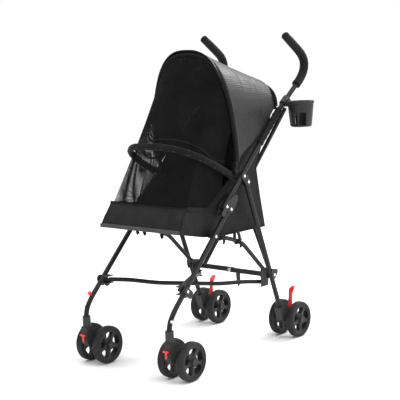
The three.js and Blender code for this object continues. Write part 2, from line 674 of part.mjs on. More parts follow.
const acrossCabin = (points, thick) => points.slice(1).map((point, i) => slab([
  ...[points[i], point].map(([y, z]) => vec(cabinHalfAt(y), y, z)),
  ...[point, points[i]].map(([y, z]) => vec(-cabinHalfAt(y), y, z)),
], thick));
const backArch = slab(archStops(150, 80, 2.6, [250, 774], REAR_ARCH_LEAN, 0, 16), vec(0, -FABRIC, 0));
const cabin = join3(
  ...cabinWall(1),
  ...cabinWall(-1),
  ...acrossCabin(floorLine, vec(0, 0, FABRIC)),
  ...acrossCabin(backLine, vec(0, -FABRIC, 0)),
  ...acrossCabin([APRON_FOOT, APRON_TOP], vec(0, FABRIC, 0)),
  backArch,
);
add('cabin', cabin, CLOTH());

const board = slab(
  [[-60, 400.5], [180, 396.5], [180, 402.5], [-60, 406.5]].map(([y, z]) => vec(-136, y, z)), vec(272, 0, 0),
);
add('floor_board', board, CLOTH());

// ---- front mesh screen in two parts that meet behind the bumper bar
const SCREEN_FRONT = [-218, 512];
const SCREEN_BEND = [-112, 495];
const SCREEN_END = [6, 566];
const SCREEN_FOOT_HALF = 148;
const SCREEN_REAR_HALF = 142;
const FRONT_SHARE = 0.42;
const RAIL_SHARE = 0.72;
const SCREEN_DRAW = 7;

// The lower edge runs along the apron, back beside the seat and up to the hoop's pivot.
function screenFoot(v) {
  const side = v < 0.5 ? 1 : -1;
  const share = Math.abs(v - 0.5) * 2;
  if (share < FRONT_SHARE) {
    const across = share / FRONT_SHARE;
    return vec(side * across * SCREEN_FOOT_HALF, SCREEN_FRONT[0] - 6 * (1 - across), SCREEN_FRONT[1]);
  }
  if (share < RAIL_SHARE) {
    const along = (share - FRONT_SHARE) / (RAIL_SHARE - FRONT_SHARE);
    const half = THREE.MathUtils.lerp(SCREEN_FOOT_HALF, SCREEN_REAR_HALF, along);
    return onSide(side * half, between(SCREEN_FRONT, SCREEN_BEND, along));
  }
  const up = (share - RAIL_SHARE) / (1 - RAIL_SHARE);
  return onSide(side * SCREEN_REAR_HALF, between(SCREEN_BEND, SCREEN_END, up));
}

const SCREEN_HEAD_HALF = 160;
const SCREEN_HEAD_RISE = 362;
function screenHead(v) {
  const [across, up] = archShare(Math.PI * (0.03 + 0.94 * v), 2.7);
  const rise = up * SCREEN_HEAD_RISE;
  return vec(
    across * SCREEN_HEAD_HALF,
    HOOP_PIVOT[0] - 13 + rise * Math.sin(HOOP_LEAN),
    HOOP_PIVOT[1] + rise * Math.cos(HOOP_LEAN),
  );
}

// The screen is stretched between hoop and apron, so it curves inwards half way down.
function screenAt(share, v) {
  const place = 0.05 + 0.9 * v;
  const point = screenHead(place).lerp(screenFoot(place), share);
  return point.add(toCore(point).multiplyScalar(SCREEN_DRAW * Math.sin(Math.PI * share)));
}
const meshPart = (from, to) => sheet((u, v) => screenAt(from + (to - from) * u, v), 2, 18, 1.2, toCore);
add('screen_upper', meshPart(0.0, 0.555), CLOTH());
add('screen_lower', meshPart(0.56, 0.985), CLOTH());

// ---- cup holder
const CUP_LIP = 2;
const CUP_WALL = 2.5;
const CUP_BASE = 3;
const CUP_CAVITY_R = CUP_TOP_R - CUP_WALL;
const cupBody = new THREE.LatheGeometry([
  new THREE.Vector2(0, 0), new THREE.Vector2(CUP_FOOT_R, 0), new THREE.Vector2(CUP_TOP_R, CUP_HEIGHT - 6),
  new THREE.Vector2(CUP_TOP_R + CUP_LIP, CUP_HEIGHT - 6), new THREE.Vector2(CUP_TOP_R + CUP_LIP, CUP_HEIGHT),
  new THREE.Vector2(CUP_CAVITY_R, CUP_HEIGHT), new THREE.Vector2(CUP_FOOT_R - CUP_WALL, CUP_BASE),
  new THREE.Vector2(0, CUP_BASE),
], 28).rotateX(Math.PI / 2).translate(CUP.x, CUP.y, CUP.z);
const cupSlot = (angle, width) =>
  box(vec(30, -width / 2, 5), vec(60, width / 2, 47)).rotateZ(angle).translate(CUP.x, CUP.y, CUP.z);
add('cup_holder', cut(cupBody, cupSlot(-1.41, 8), cupSlot(2.78, 8), cupSlot(-0.83, 22)), MOULDED());

const handleAt = (y) => {
  const share = (y - HANDLE_BEND[0]) / (HANDLE_TOP[0] - HANDLE_BEND[0]);
  return onSide(FRAME_X, between(HANDLE_BEND, HANDLE_TOP, share));
};
const clampRing = rod(handleAt(276), handleAt(300), 13, 16);
const clampBore = rod(handleAt(270), handleAt(306), TUBE_R + 0.5);
const clamp = join3(
  cut(clampRing, clampBore),
  box(vec(FRAME_X + 11, 278, 780), vec(CUP.x - CUP_TOP_R - 2.8, 298, 802)),
);
const cupKeepOut = new THREE.CylinderGeometry(CUP_TOP_R + 2.4, CUP_TOP_R + 2.4, CUP_HEIGHT + 40, 28)
  .rotateX(Math.PI / 2).translate(CUP.x, CUP.y, CUP.z + CUP_HEIGHT / 2);
add('cup_clamp', cut(clamp, cupKeepOut), MOULDED());

// ---- red stud on the right front leg, the catch of the storage hook
const stud = join3(
  rod(vec(0, -6, 0), vec(0, -14, 0), 3.5),
  rod(vec(0, -13, 0), vec(0, -19, 0), 6.5, 14),
).rotateX(-0.8).translate(-FRAME_X, -311, 217.7);
const studLeg = tube(frontLegRoute.map((point) => point.clone().setX(-FRAME_X)), TUBE_R + 0.4);
add('latch_stud', cut(stud, studLeg), RED());

export default stroller;
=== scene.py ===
"""Folding pet stroller: black umbrella frame, fabric cabin and canopy, net screen, paired wheels.

Shapes are written in millimetres in the stroller's own frame: x = 0 on the plane of symmetry, y = 0 near the
middle between the axles, z = 0 on the floor, facing -y. `place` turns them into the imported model's frame, in
metres."""
import json
import math

import bmesh
import bpy
import numpy as np
from mathutils import Matrix, Vector

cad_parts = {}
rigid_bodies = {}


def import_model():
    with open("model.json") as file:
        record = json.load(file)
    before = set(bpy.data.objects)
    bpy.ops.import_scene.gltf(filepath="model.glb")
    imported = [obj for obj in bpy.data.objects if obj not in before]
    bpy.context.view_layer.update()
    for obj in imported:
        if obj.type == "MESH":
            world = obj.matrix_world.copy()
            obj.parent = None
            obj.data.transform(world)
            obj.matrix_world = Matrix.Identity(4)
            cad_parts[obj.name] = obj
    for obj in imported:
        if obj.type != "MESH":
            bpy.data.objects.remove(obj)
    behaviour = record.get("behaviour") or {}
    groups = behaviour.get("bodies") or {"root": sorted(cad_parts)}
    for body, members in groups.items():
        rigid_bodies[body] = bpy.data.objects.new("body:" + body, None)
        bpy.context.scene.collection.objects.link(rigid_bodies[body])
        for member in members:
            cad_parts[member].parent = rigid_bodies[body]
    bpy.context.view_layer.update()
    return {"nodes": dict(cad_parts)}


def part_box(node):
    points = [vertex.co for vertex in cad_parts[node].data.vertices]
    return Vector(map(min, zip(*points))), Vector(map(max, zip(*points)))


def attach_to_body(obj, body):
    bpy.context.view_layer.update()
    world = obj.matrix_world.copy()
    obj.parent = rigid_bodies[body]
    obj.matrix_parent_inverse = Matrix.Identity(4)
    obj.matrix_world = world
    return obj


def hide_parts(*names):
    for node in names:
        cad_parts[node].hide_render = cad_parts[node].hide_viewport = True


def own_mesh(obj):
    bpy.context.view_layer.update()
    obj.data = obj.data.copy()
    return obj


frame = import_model()


# ---- where the stroller's own frame lies
def middle(node):
    low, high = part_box(node)
    return (low + high) / 2


ORIGIN = Vector((
    (middle("left_grip").x + middle("right_grip").x) / 2,
    (middle("left_front_axle").y + middle("left_rear_axle").y) / 2 + 0.001,
    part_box("left_rear_wheel_outer")[0].z,
))


def place(point):
    """A point in millimetres in the stroller's own frame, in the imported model's frame in metres."""
    return ORIGIN + Vector(point) / 1000


# ---- driving dimensions, (y, z) on the side frame
FRAME_X = 172
TUBE_R = 8
THIN_TUBE_R = 7
HANDLE = [(-66, 484.5), (250, 770), (375, 862)]
FRONT_LEG = [(-20, 497), (-318, 211), (-341, 178), (-341, 141)]
REAR_LEG = [(54, 566), (240, 77)]
SEAT_TUBE_X = 156
SEAT_TUBE = [(-118, 408), (-20, 384), (48, 360), (168, 246)]
GRIP = [(357, 849), (381, 866.7), (402, 891), (409, 919), (397, 944), (369, 967), (299, 1013)]
GRIP_R = 14
WHEEL_R = 60
WHEEL_W = 27
PAIR_HALF = 36
FRONT_AXLE = (-289, WHEEL_R)
REAR_AXLE = (287, WHEEL_R)
CASTER_Y = -341
HOOP_PIVOT = (24, 592)
HOOP_HALF = 168
HOOP_RISE = 372
HOOP_LEAN = -0.059
REAR_ARCH_BASE = (252, 776)
REAR_ARCH_UP = (0.12, 0.99)
REAR_ARCH_HALF = 158
REAR_ARCH_RISE = 90
BUMPER_PIVOT = (30, 566)
BUMPER_REACH = 258
BUMPER_LEAN = 0.486
CROSS_FOOT = (150, 213, 222)
CROSS_HEAD = (150, 306, 775)
CROSS_STEP = 16
BRACE_REAR = (138, 189, 200)
BRACE_FRONT = (147, -256, 264)
BRACE_DIP = 9
CUP = (236, 286, 715)
FOLD_HALF = {"cabin": 146, "bumper": 149.6, "hood": 157}
HOOD_NAMES = ("canopy", "rear_arch", "screen_upper")
SIDES = {"left": 1, "right": -1}


# ---- materials
def new_material(name, color, roughness, metallic=0.0, **sockets):
    """A Principled material, with its plain values set on the shader's own sockets."""
    material = bpy.data.materials.new(name)
    material.use_nodes = True
    shader = shader_of(material)
    shader.inputs["Base Color"].default_value = (*color, 1)
    shader.inputs["Roughness"].default_value = roughness
    shader.inputs["Metallic"].default_value = metallic
    for socket, value in sockets.items():
        shader.inputs[socket.replace("_", " ")].default_value = value
    return material


def node(material, kind, **values):
    made = material.node_tree.nodes.new(kind)
    for key, value in values.items():
        if key in made.inputs:
            made.inputs[key].default_value = value
        else:
            setattr(made, key, value)
    return made


def link(material, source, target):
    material.node_tree.links.new(source, target)


def shader_of(material):
    return material.node_tree.nodes["Principled BSDF"]


def object_coordinates(material):
    return node(material, "ShaderNodeTexCoord").outputs["Object"]


def cloudy(material, scale, detail=3.0):
    """Noise over the piece's own coordinates."""
    noise = node(material, "ShaderNodeTexNoise", Scale=scale, Detail=detail)
    link(material, object_coordinates(material), noise.inputs["Vector"])
    return noise.outputs["Fac"]


def mapped(material, value, start, end, low, high):
    """The value, mapped from start and end to low and high."""
    spread = node(material, "ShaderNodeMapRange")
    for name, number in (("From Min", start), ("From Max", end), ("To Min", low), ("To Max", high)):
        spread.inputs[name].default_value = number
    link(material, value, spread.inputs["Value"])
    return spread.outputs["Result"]


def vary_color(material, scale, low, high, detail=4.0):
    """Cloudy variation between two colours."""
    ramp = node(material, "ShaderNodeValToRGB")
    for element, position, color in zip(ramp.color_ramp.elements, (0.3, 0.7), (low, high)):
        element.position = position
        element.color = (*color, 1)
    link(material, cloudy(material, scale, detail), ramp.inputs["Fac"])
    link(material, ramp.outputs["Color"], shader_of(material).inputs["Base Color"])
    return ramp


def vary_roughness(material, scale, low, high):
    uneven = mapped(material, cloudy(material, scale), 0.3, 0.7, low, high)
    link(material, uneven, shader_of(material).inputs["Roughness"])


def add_bump(material, height, strength, distance):
    """Stacks one more bump under the shader's normal."""
    bump = node(material, "ShaderNodeBump", Strength=strength, Distance=distance)
    link(material, height, bump.inputs["Height"])
    normal = shader_of(material).inputs["Normal"]
    if normal.is_linked:
        link(material, normal.links[0].from_socket, bump.inputs["Normal"])
    link(material, bump.outputs["Normal"], normal)


def noise_bump(material, scale, strength, distance):
    add_bump(material, cloudy(material, scale), strength, distance)


def weave_bump(material, threads_per_metre, strength, distance):
    """Crossing threads: bands of waves along each axis, so that every face of the cloth shows two."""
    total = None
    for direction in ("X", "Y", "Z"):
        wave = node(material, "ShaderNodeTexWave", Scale=threads_per_metre / 20, Distortion=0.6)
        wave.bands_direction = direction
        wave.inputs["Detail Scale"].default_value = 3
        link(material, object_coordinates(material), wave.inputs["Vector"])
        height = wave.outputs["Fac"]
        if total:
            adder = node(material, "ShaderNodeMath", operation="ADD")
            link(material, total, adder.inputs[0])
            link(material, height, adder.inputs[1])
            height = adder.outputs["Value"]
        total = height
    add_bump(material, total, strength, distance)


def edge_wear(material, ramp_target, worn, amount=0.5):
    """Lightens the colour where the surface is sharply convex."""
    geometry = node(material, "ShaderNodeNewGeometry")
    convex = mapped(material, geometry.outputs["Pointiness"], 0.52, 0.62, 0, amount)
    mix = node(material, "ShaderNodeMix", data_type="RGBA")
    link(material, convex, mix.inputs[0])
    link(material, ramp_target.outputs["Color"], mix.inputs[6])
    mix.inputs[7].default_value = (*worn, 1)
    link(material, mix.outputs[2], shader_of(material).inputs["Base Color"])


def surface(name, low, high, grain, roughness, spots, bumps, wear=None, metallic=0.0, **sockets):
    """Cloudy colour from low to high, uneven roughness, fine bumps and, where wear is given, paler edges."""
    color = tuple((a + b) / 2 for a, b in zip(low, high))
    material = new_material(name, color, sum(roughness) / 2, metallic, **sockets)
    ramp = vary_color(material, grain, low, high)
    if wear:
        edge_wear(material, ramp, *wear)
    vary_roughness(material, spots, *roughness)
    noise_bump(material, *bumps)
    return material


def woven_cloth(name, low, high, sheen, roughness=0.86, specular=0.2):
    material = new_material(name, high, roughness, Sheen_Weight=sheen, Sheen_Roughness=0.45,
                            Specular_IOR_Level=specular)
    shader_of(material).inputs["Sheen Tint"].default_value = (0.75, 0.77, 0.8, 1)
    vary_color(material, 14, low, high, 6)
    vary_roughness(material, 25, roughness - 0.08, min(roughness + 0.06, 1))
    weave_bump(material, 900, 0.35, 0.0003)
    noise_bump(material, 9, 0.25, 0.004)
    return material


TUBE = surface("satin_tube_paint", (0.004, 0.004, 0.0044), (0.008, 0.008, 0.0087), 30, (0.4, 0.54), 90,
               (1400, 0.12, 0.0002), wear=((0.022, 0.022, 0.024), 0.3), Specular_IOR_Level=0.28)
PLASTIC = surface("moulded_black_plastic", (0.009, 0.009, 0.0095), (0.015, 0.015, 0.016), 60,
                  (0.42, 0.6), 140, (2200, 0.2, 0.0002), wear=((0.045, 0.045, 0.047), 0.4),
                  Specular_IOR_Level=0.35)
WHEEL = surface("wheel_black", (0.008, 0.008, 0.009), (0.016, 0.016, 0.0165), 45, (0.38, 0.6), 70,
                (1600, 0.18, 0.0002), wear=((0.04, 0.04, 0.042), 0.35), Specular_IOR_Level=0.32)
TYRE = surface("tyre_rubber", (0.008, 0.008, 0.0085), (0.016, 0.016, 0.0165), 35, (0.52, 0.75), 50,
               (900, 0.3, 0.0003), Specular_IOR_Level=0.3)
FOAM = surface("grip_foam", (0.005, 0.0047, 0.0047), (0.009, 0.0086, 0.0086), 70, (0.8, 0.98), 120,
               (1100, 0.5, 0.0005), Sheen_Weight=0.02, Sheen_Roughness=0.6, Specular_IOR_Level=0.2)
RED = surface("red_plastic", (0.62, 0.010, 0.011), (0.78, 0.018, 0.016), 60, (0.28, 0.44), 110,
              (1500, 0.08, 0.0002), Coat_Weight=0.3, Coat_Roughness=0.2)
STEEL = surface("rivet_steel", (0.6, 0.6, 0.61), (0.85, 0.85, 0.86), 300, (0.18, 0.34), 400,
                (900, 0.1, 0.0002), metallic=1.0)
CANOPY = woven_cloth("canopy_polyester", (0.0045, 0.0045, 0.0048), (0.007, 0.007, 0.0074), 0.03, 0.46, 0.5)
CLOTH = woven_cloth("black_polyester", (0.003, 0.003, 0.0033), (0.005, 0.005, 0.0054), 0.015, 0.66, 0.2)
LINING = woven_cloth("cabin_lining", (0.0025, 0.0025, 0.0028), (0.0045, 0.0045, 0.0048), 0.02)
BINDING = woven_cloth("edge_binding", (0.003, 0.003, 0.0033), (0.0055, 0.0055, 0.006), 0.03)
PIPING = woven_cloth("grey_piping", (0.05, 0.05, 0.052), (0.08, 0.08, 0.083), 0.1)
HEM = woven_cloth("grey_hem", (0.04, 0.04, 0.042), (0.065, 0.065, 0.068), 0.2)
WEBBING = woven_cloth("black_webbing", (0.005, 0.005, 0.0054), (0.009, 0.009, 0.0095), 0.05)
NET = woven_cloth("net_thread", (0.0045, 0.0045, 0.0048), (0.0075, 0.0075, 0.008), 0.0, 0.9, 0.15)


# ---- mesh building
def mesh_piece(name, vertices, faces, material, sharp_angle=35):
    """A mesh from points in millimetres in the stroller's own frame, smooth except at sharp edges."""
    mesh = bpy.data.meshes.new(name)
    mesh.from_pydata([place(v) for v in vertices], [], faces)
    return finish_mesh(name, mesh, material, sharp_angle)


def finish_mesh(name, mesh, material, sharp_angle=35):
    work = bmesh.new()
    work.from_mesh(mesh)
    bmesh.ops.remove_doubles(work, verts=work.verts, dist=1e-6)
    bmesh.ops.recalc_face_normals(work, faces=work.faces)
    work.to_mesh(mesh)
    work.free()
    mesh.materials.append(material)
    piece = bpy.data.objects.new(name, mesh)
    bpy.context.scene.collection.objects.link(piece)
    smooth(piece, sharp_angle)
    return piece


def smooth(piece, sharp_angle=35):
    piece.data.shade_smooth()
    piece.data.set_sharp_from_angle(angle=math.radians(sharp_angle))


def attach(piece, body, slot, *replaced, folds=False):
    """Rides a finished piece on its body and hides the parts it replaces; a piece that spans both sides gets a
    mesh of its own.
    """
    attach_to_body(piece, body)
    if replaced:
        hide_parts(*replaced)
    if folds:
        part = "bumper" if body == "bumper" else "hood" if piece.name.startswith(HOOD_NAMES) else "cabin"
        half = FOLD_HALF[part]
        place((half, 0, 0))
        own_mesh(piece)
    return piece


def thicken(piece, thickness, offset=-1):
    modifier = piece.modifiers.new("thickness", "SOLIDIFY")
    modifier.thickness = thickness / 1000
    modifier.offset = offset


def bevel(piece, width, segments=3, angle=30):
    modifier = piece.modifiers.new("edges", "BEVEL")
    modifier.width = width / 1000
    modifier.segments = segments
    modifier.limit_method = "ANGLE"
    modifier.angle_limit = math.radians(angle)


def rounded(corners, reach, steps=10):
    """Corner points joined by straight runs, with each inner corner rounded."""
    corners = [Vector(c) for c in corners]
    stops = [corners[0]]
    for before, corner, after in zip(corners, corners[1:], corners[2:]):
        start = corner + (before - corner).normalized() * reach
        end = corner + (after - corner).normalized() * reach
        for i in range(steps + 1):
            t = i / steps
            stops.append((1 - t) ** 2 * start + 2 * t * (1 - t) * corner + t ** 2 * end)
    return stops + [corners[-1]]


def curve_through(points, per_span=8):
    """A smooth curve through the points (Catmull-Rom)."""
    points = [Vector(p) for p in points]
    padded = [points[0] * 2 - points[1], *points, points[-1] * 2 - points[-2]]
    stops = []
    for a, b, c, d in zip(padded, padded[1:], padded[2:], padded[3:]):
        for i in range(per_span):
            t = i / per_span
            stops.append(0.5 * (2 * b + (c - a) * t + (2 * a - 5 * b + 4 * c - d) * t * t
                                + (3 * b - a - 3 * c + d) * t ** 3))
    return stops + [points[-1]]


def round_steps(count):
    """Cosine and sine of count even steps round a circle."""
    return [(math.cos(2 * math.pi * i / count), math.sin(2 * math.pi * i / count)) for i in range(count)]


def circle(radius, sides=24):
    return [(radius * c, radius * s) for c, s in round_steps(sides)]


def oval(half_a, half_b, power=2.0, sides=28):
    """A superellipse section."""
    return [(half_a * math.copysign(abs(c) ** (2 / power), c),
             half_b * math.copysign(abs(s) ** (2 / power), s)) for c, s in round_steps(sides)]


def tube_faces(rings, count):
    """Faces between rings of count points each, with both ends closed."""
    faces = []
    for first in range(0, (rings - 1) * count, count):
        for j in range(count):
            k = (j + 1) % count
            faces.append((first + j, first + k, first + count + k, first + count + j))
    return [*faces, tuple(range(count)), tuple(reversed(range((rings - 1) * count, rings * count)))]


def turned_faces(steps, count, close=False):
    """Faces of a profile of count points turned right round; close joins its last point to its first."""
    faces = []
    for i in range(steps):
        n = (i + 1) % steps
        for j in range(count if close else count - 1):
            k = (j + 1) % count
            faces.append((i * count + j, i * count + k, n * count + k, n * count + j))
    return faces


def sweep_data(stops, section, up=(1, 0, 0), scale=None, dome=0.0):
    """Vertices and faces of a section carried along a path. dome rounds both ends by that length."""
    stops = [Vector(s) for s in stops]
    rings = []
    side_before = None
    for i, stop in enumerate(stops):
        tangent = (stops[min(i + 1, len(stops) - 1)] - stops[max(i - 1, 0)]).normalized()
        reference = Vector(up) if side_before is None else side_before
        side = (reference - tangent * reference.dot(tangent)).normalized()
        side_before = side
        rings.append((stop, tangent, side, scale(i / (len(stops) - 1)) if scale else 1.0))
    if dome:
        rounds = [(0.0, 0.02), (0.3, 0.55), (0.65, 0.85), (0.9, 0.97)]
        (stop, tangent, side, size), (far_stop, far_tangent, far_side, far_size) = rings[0], rings[-1]
        head = [(stop - tangent * dome * (1 - far), tangent, side, size * share) for far, share in rounds]
        tail = [(far_stop + far_tangent * dome * (1 - far), far_tangent, far_side, far_size * share)
                for far, share in rounds[::-1]]
        rings = head + rings + tail
    vertices = []
    for stop, tangent, side, size in rings:
        over = tangent.cross(side)
        vertices += [stop + side * a * size + over * b * size for a, b in section]
    return vertices, tube_faces(len(rings), len(section))


def join_data(*parts):
    vertices, faces = [], []
    for part_vertices, part_faces in parts:
        start = len(vertices)
        vertices += [Vector(v) for v in part_vertices]
        faces += [tuple(i + start for i in face) for face in part_faces]
    return vertices, faces


def grid_data(point_at, across, along):
    """A sheet of quads: point_at(u, v) for u and v from 0 to 1."""
    vertices = [point_at(i / across, j / along) for i in range(across + 1) for j in range(along + 1)]
    width = along + 1
    faces = [(i * width + j, i * width + j + 1, (i + 1) * width + j + 1, (i + 1) * width + j)
             for i in range(across) for j in range(along)]
    return vertices, faces


def box_data(low, high):
    vertices = [(x, y, z) for x in (low[0], high[0]) for y in (low[1], high[1]) for z in (low[2], high[2])]
    return vertices, [(0, 1, 3, 2), (4, 6, 7, 5), (0, 4, 5, 1), (2, 3, 7, 6), (0, 2, 6, 4), (1, 5, 7, 3)]


def lathe_data(profile, steps=48, close=False):
    """A profile of (radius, along) turned about the X axis."""
    vertices = [(along, r * c, r * s) for c, s in round_steps(steps) for r, along in profile]
    return vertices, turned_faces(steps, len(profile), close)


def on_side(x, points):
    return [(x, y, z) for y, z in points]


def dome_data(centre, direction, radius, height):
    """A low rivet dome that stands out along direction."""
    axis = Vector(direction).normalized()
    start = Vector(centre)
    levels = [(1.0, -0.8), (1.0, 0.0), (0.94, 0.35), (0.72, 0.78), (0.4, 0.95), (0.05, 1.0)]
    side = axis.orthogonal().normalized()
    over = axis.cross(side)
    steps = 20
    vertices = [start + axis * height * lift + (side * c + over * s) * radius * share
                for share, lift in levels for c, s in round_steps(steps)]
    return vertices, tube_faces(len(levels), steps)


# ---- camera, light and floor
CAMERA_AZIMUTH, CAMERA_ELEVATION, CAMERA_ROLL = (math.radians(angle) for angle in (39.177, 8.237, -2.075))
CAMERA_AIM = Vector((0, 0, 0.38565))
CAMERA_AWAY = 3.43486
CAMERA_RIGHT = 0.02228
CAMERA_UP = 0.10627
CAMERA_LENS = 94.58
FLOOR_HALF = 14
LIGHTS = {"top_left": ((-1.6, -1.3, 2.9), 22, 1.6), "top_right": ((2.3, -0.4, 2.6), 34, 1.4),
          "behind": ((0.7, 2.2, 2.7), 80, 1.5)}
LIGHT_AIM = Vector((0, 0, 0.55))


def set_camera():
    level = math.cos(CAMERA_ELEVATION)
    back = Vector((math.sin(CAMERA_AZIMUTH) * level, -math.cos(CAMERA_AZIMUTH) * level,
                   math.sin(CAMERA_ELEVATION)))
    right = (-back).cross(Vector((0, 0, 1))).normalized()
    up = right.cross(-back)
    centre = CAMERA_AIM + back * CAMERA_AWAY + right * CAMERA_RIGHT + up * CAMERA_UP
    turned_right = math.cos(CAMERA_ROLL) * right + math.sin(CAMERA_ROLL) * up
    turned_up = -math.sin(CAMERA_ROLL) * right + math.cos(CAMERA_ROLL) * up
    camera = bpy.data.objects.new("camera", bpy.data.cameras.new("camera"))
    bpy.context.scene.collection.objects.link(camera)
    rotation = Matrix((turned_right, turned_up, back)).transposed().to_4x4()
    camera.matrix_world = Matrix.Translation(ORIGIN + centre) @ rotation
    camera.data.sensor_width = 36
    camera.data.lens = CAMERA_LENS
    bpy.context.scene.camera = camera


def set_floor():
    mesh = bpy.data.meshes.new("floor")
    corners = [(x * FLOOR_HALF, y * FLOOR_HALF, 0) for x, y in ((-1, -1), (1, -1), (1, 1), (-1, 1))]
    mesh.from_pydata(corners, [], [(0, 1, 2, 3)])
    floor = bpy.data.objects.new("floor", mesh)
    floor.location.z = -0.0005
    bpy.context.scene.collection.objects.link(floor)
    pale = new_material("pale_floor", (1.0, 1.0, 1.0), 0.8, Specular_IOR_Level=0.0)
    noise_bump(pale, 3, 0.02, 0.001)
    mesh.materials.append(pale)


def set_light():
    world = bpy.data.worlds.new("studio")
    world.use_nodes = True
    world.node_tree.nodes["Background"].inputs["Color"].default_value = (1, 1, 1, 1)
    world.node_tree.nodes["Background"].inputs["Strength"].default_value = 1.0
    bpy.context.scene.world = world
    bpy.context.scene.view_settings.view_transform = "Standard"
    for name, (position, power, size) in LIGHTS.items():
        lamp = bpy.data.objects.new(name, bpy.data.lights.new(name, "AREA"))
        lamp.data.energy = power
        lamp.data.size = size
        lamp.location = position
        aim = LIGHT_AIM - Vector(position)
        lamp.rotation_mode = "QUATERNION"
        lamp.rotation_quaternion = aim.to_track_quat("-Z", "Y")
        bpy.context.scene.collection.objects.link(lamp)


set_camera()
set_floor()
set_light()


# ---- frame tubes
def tube_piece(name, stops, radius, body, sides=28):
    piece = mesh_piece(name, *sweep_data(stops, circle(radius, sides), dome=1.2), TUBE)
    return attach(piece, body, "frame_tube", name.replace("_paint", ""))


def make_side_tubes():
    for side, sign in SIDES.items():
        body = f"{side}_side"
        x = FRAME_X * sign
        tube_piece(f"{side}_handle_tube_paint", rounded(on_side(x, HANDLE), 30), TUBE_R, body)
        tube_piece(f"{side}_front_leg_paint", rounded(on_side(x, FRONT_LEG), 20), TUBE_R, body)
        tube_piece(f"{side}_rear_leg_paint", rounded(on_side(x, REAR_LEG), 1), TUBE_R, body)
        seat = rounded(on_side(SEAT_TUBE_X * sign, SEAT_TUBE), 28)
        tube_piece(f"{side}_seat_tube_paint", seat, THIN_TUBE_R, body)


def smoothstep(value, low, high):
    t = min(max((value - low) / (high - low), 0), 1)
    return t * t * (3 - 2 * t)


def make_cross_tubes():
    axis = Vector((0, CROSS_HEAD[2] - CROSS_FOOT[2], CROSS_FOOT[1] - CROSS_HEAD[1])).normalized()
    steps = 40
    for side, sign in SIDES.items():
        rear = Vector((BRACE_REAR[0] * sign, BRACE_REAR[1], BRACE_REAR[2]))
        front = Vector((-BRACE_FRONT[0] * sign, BRACE_FRONT[1], BRACE_FRONT[2]))
        stops = []
        for i in range(steps + 1):
            share = i / steps
            bow = smoothstep(share, 0.08, 0.34) - smoothstep(share, 0.66, 0.92)
            stops.append(rear.lerp(front, share) + Vector((0, 0, -sign * BRACE_DIP * bow)))
        tube_piece(f"{side}_bottom_brace_paint", stops, THIN_TUBE_R, f"{side}_floor_brace")
        depth = 0 if sign > 0 else CROSS_STEP
        foot = Vector((CROSS_FOOT[0] * sign, CROSS_FOOT[1], CROSS_FOOT[2])) + axis * depth
        head = Vector((-CROSS_HEAD[0] * sign, CROSS_HEAD[1], CROSS_HEAD[2])) + axis * depth
        tube_piece(f"{side}_rear_brace_paint", [foot, foot.lerp(head, 0.5), head], THIN_TUBE_R,
                   f"{side}_cross_brace")


# ---- foam grips
def grip_swell(share):
    return 1.0 + 0.05 * math.sin(math.pi * share) - 0.06 * smoothstep(share, 0.9, 1)


def make_grips():
    for side, sign in SIDES.items():
        stops = curve_through(on_side(FRAME_X * sign, GRIP), 9)
        sleeve = sweep_data(stops[1:], circle(GRIP_R, 32), scale=grip_swell, dome=5)
        start = Vector(stops[0])
        tangent = (Vector(stops[3]) - start).normalized()
        collar_stops = [start + tangent * d for d in (0, 2.5, 5, 7.5)]
        collar = sweep_data(collar_stops, circle(GRIP_R + 0.6, 32), dome=1.2)
        piece = mesh_piece(f"{side}_grip_foam", *join_data(sleeve, collar), FOAM)
        attach(piece, f"{side}_side", "grip", f"{side}_grip")


# ---- hard parts kept from the frame
def dress(name, material, width, sharp_angle=40):
    """A hard part whose shape is right gets rounded edges and a real surface."""
    cad = frame["nodes"][name]
    cad.data.materials.clear()
    cad.data.materials.append(material)
    smooth(cad, sharp_angle)
    bevel(cad, width)


def finish_cad_nodes():
    looks = {
        "pivot_bracket": (PLASTIC, 0.7), "knee_bracket": (PLASTIC, 0.7), "corner_bracket": (PLASTIC, 0.6),
        "brace_clip": (PLASTIC, 0.6), "strut": (TUBE, 1.2), "caster_collar": (PLASTIC, 0.8),
        "caster_fork": (PLASTIC, 2.5), "front_axle": (PLASTIC, 0.8), "rear_axle": (PLASTIC, 0.8),
        "rear_housing": (PLASTIC, 2.5),
    }
    for name, look in looks.items():
        for side in SIDES:
            dress(f"{side}_{name}", *look)
    dress("strut_release", PLASTIC, 0.7)
    dress("cup_clamp", PLASTIC, 1.0)


# ---- rivets
PLATE_RIVETS = ((37, 577), (58, 556), (-58, 492), (-37, 481), (187, 229), (-263, 264))
PLATE_RIVET_X = 184.4
KNEE_RIVET = (180.9, -114, 407)
CORNER_RIVET = (179.6, -336, 187)


def make_rivets():
    spots = [*((PLATE_RIVET_X, y, z) for y, z in PLATE_RIVETS), KNEE_RIVET, CORNER_RIVET]
    for side, sign in SIDES.items():
        parts = [dome_data((x * sign, y, z), (sign, 0, 0), 5.0, 2.6) for x, y, z in spots]
        piece = mesh_piece(f"{side}_frame_rivets", *join_data(*parts), STEEL)
        attach(piece, f"{side}_side", None)
    washer = dome_data((0, 178.4, 228), (0, -1, 0), 6.5, 2.6)
    attach(mesh_piece("strut_rivet", *washer, STEEL), "left_strut_arm", None)


# ---- wheels
def both_halves(profile, half):
    """A profile of (radius, depth below the wheel's face), carried on to the opposite face."""
    return [(r, depth - half) for r, depth in profile] + [(r, half - depth) for r, depth in profile[::-1]]


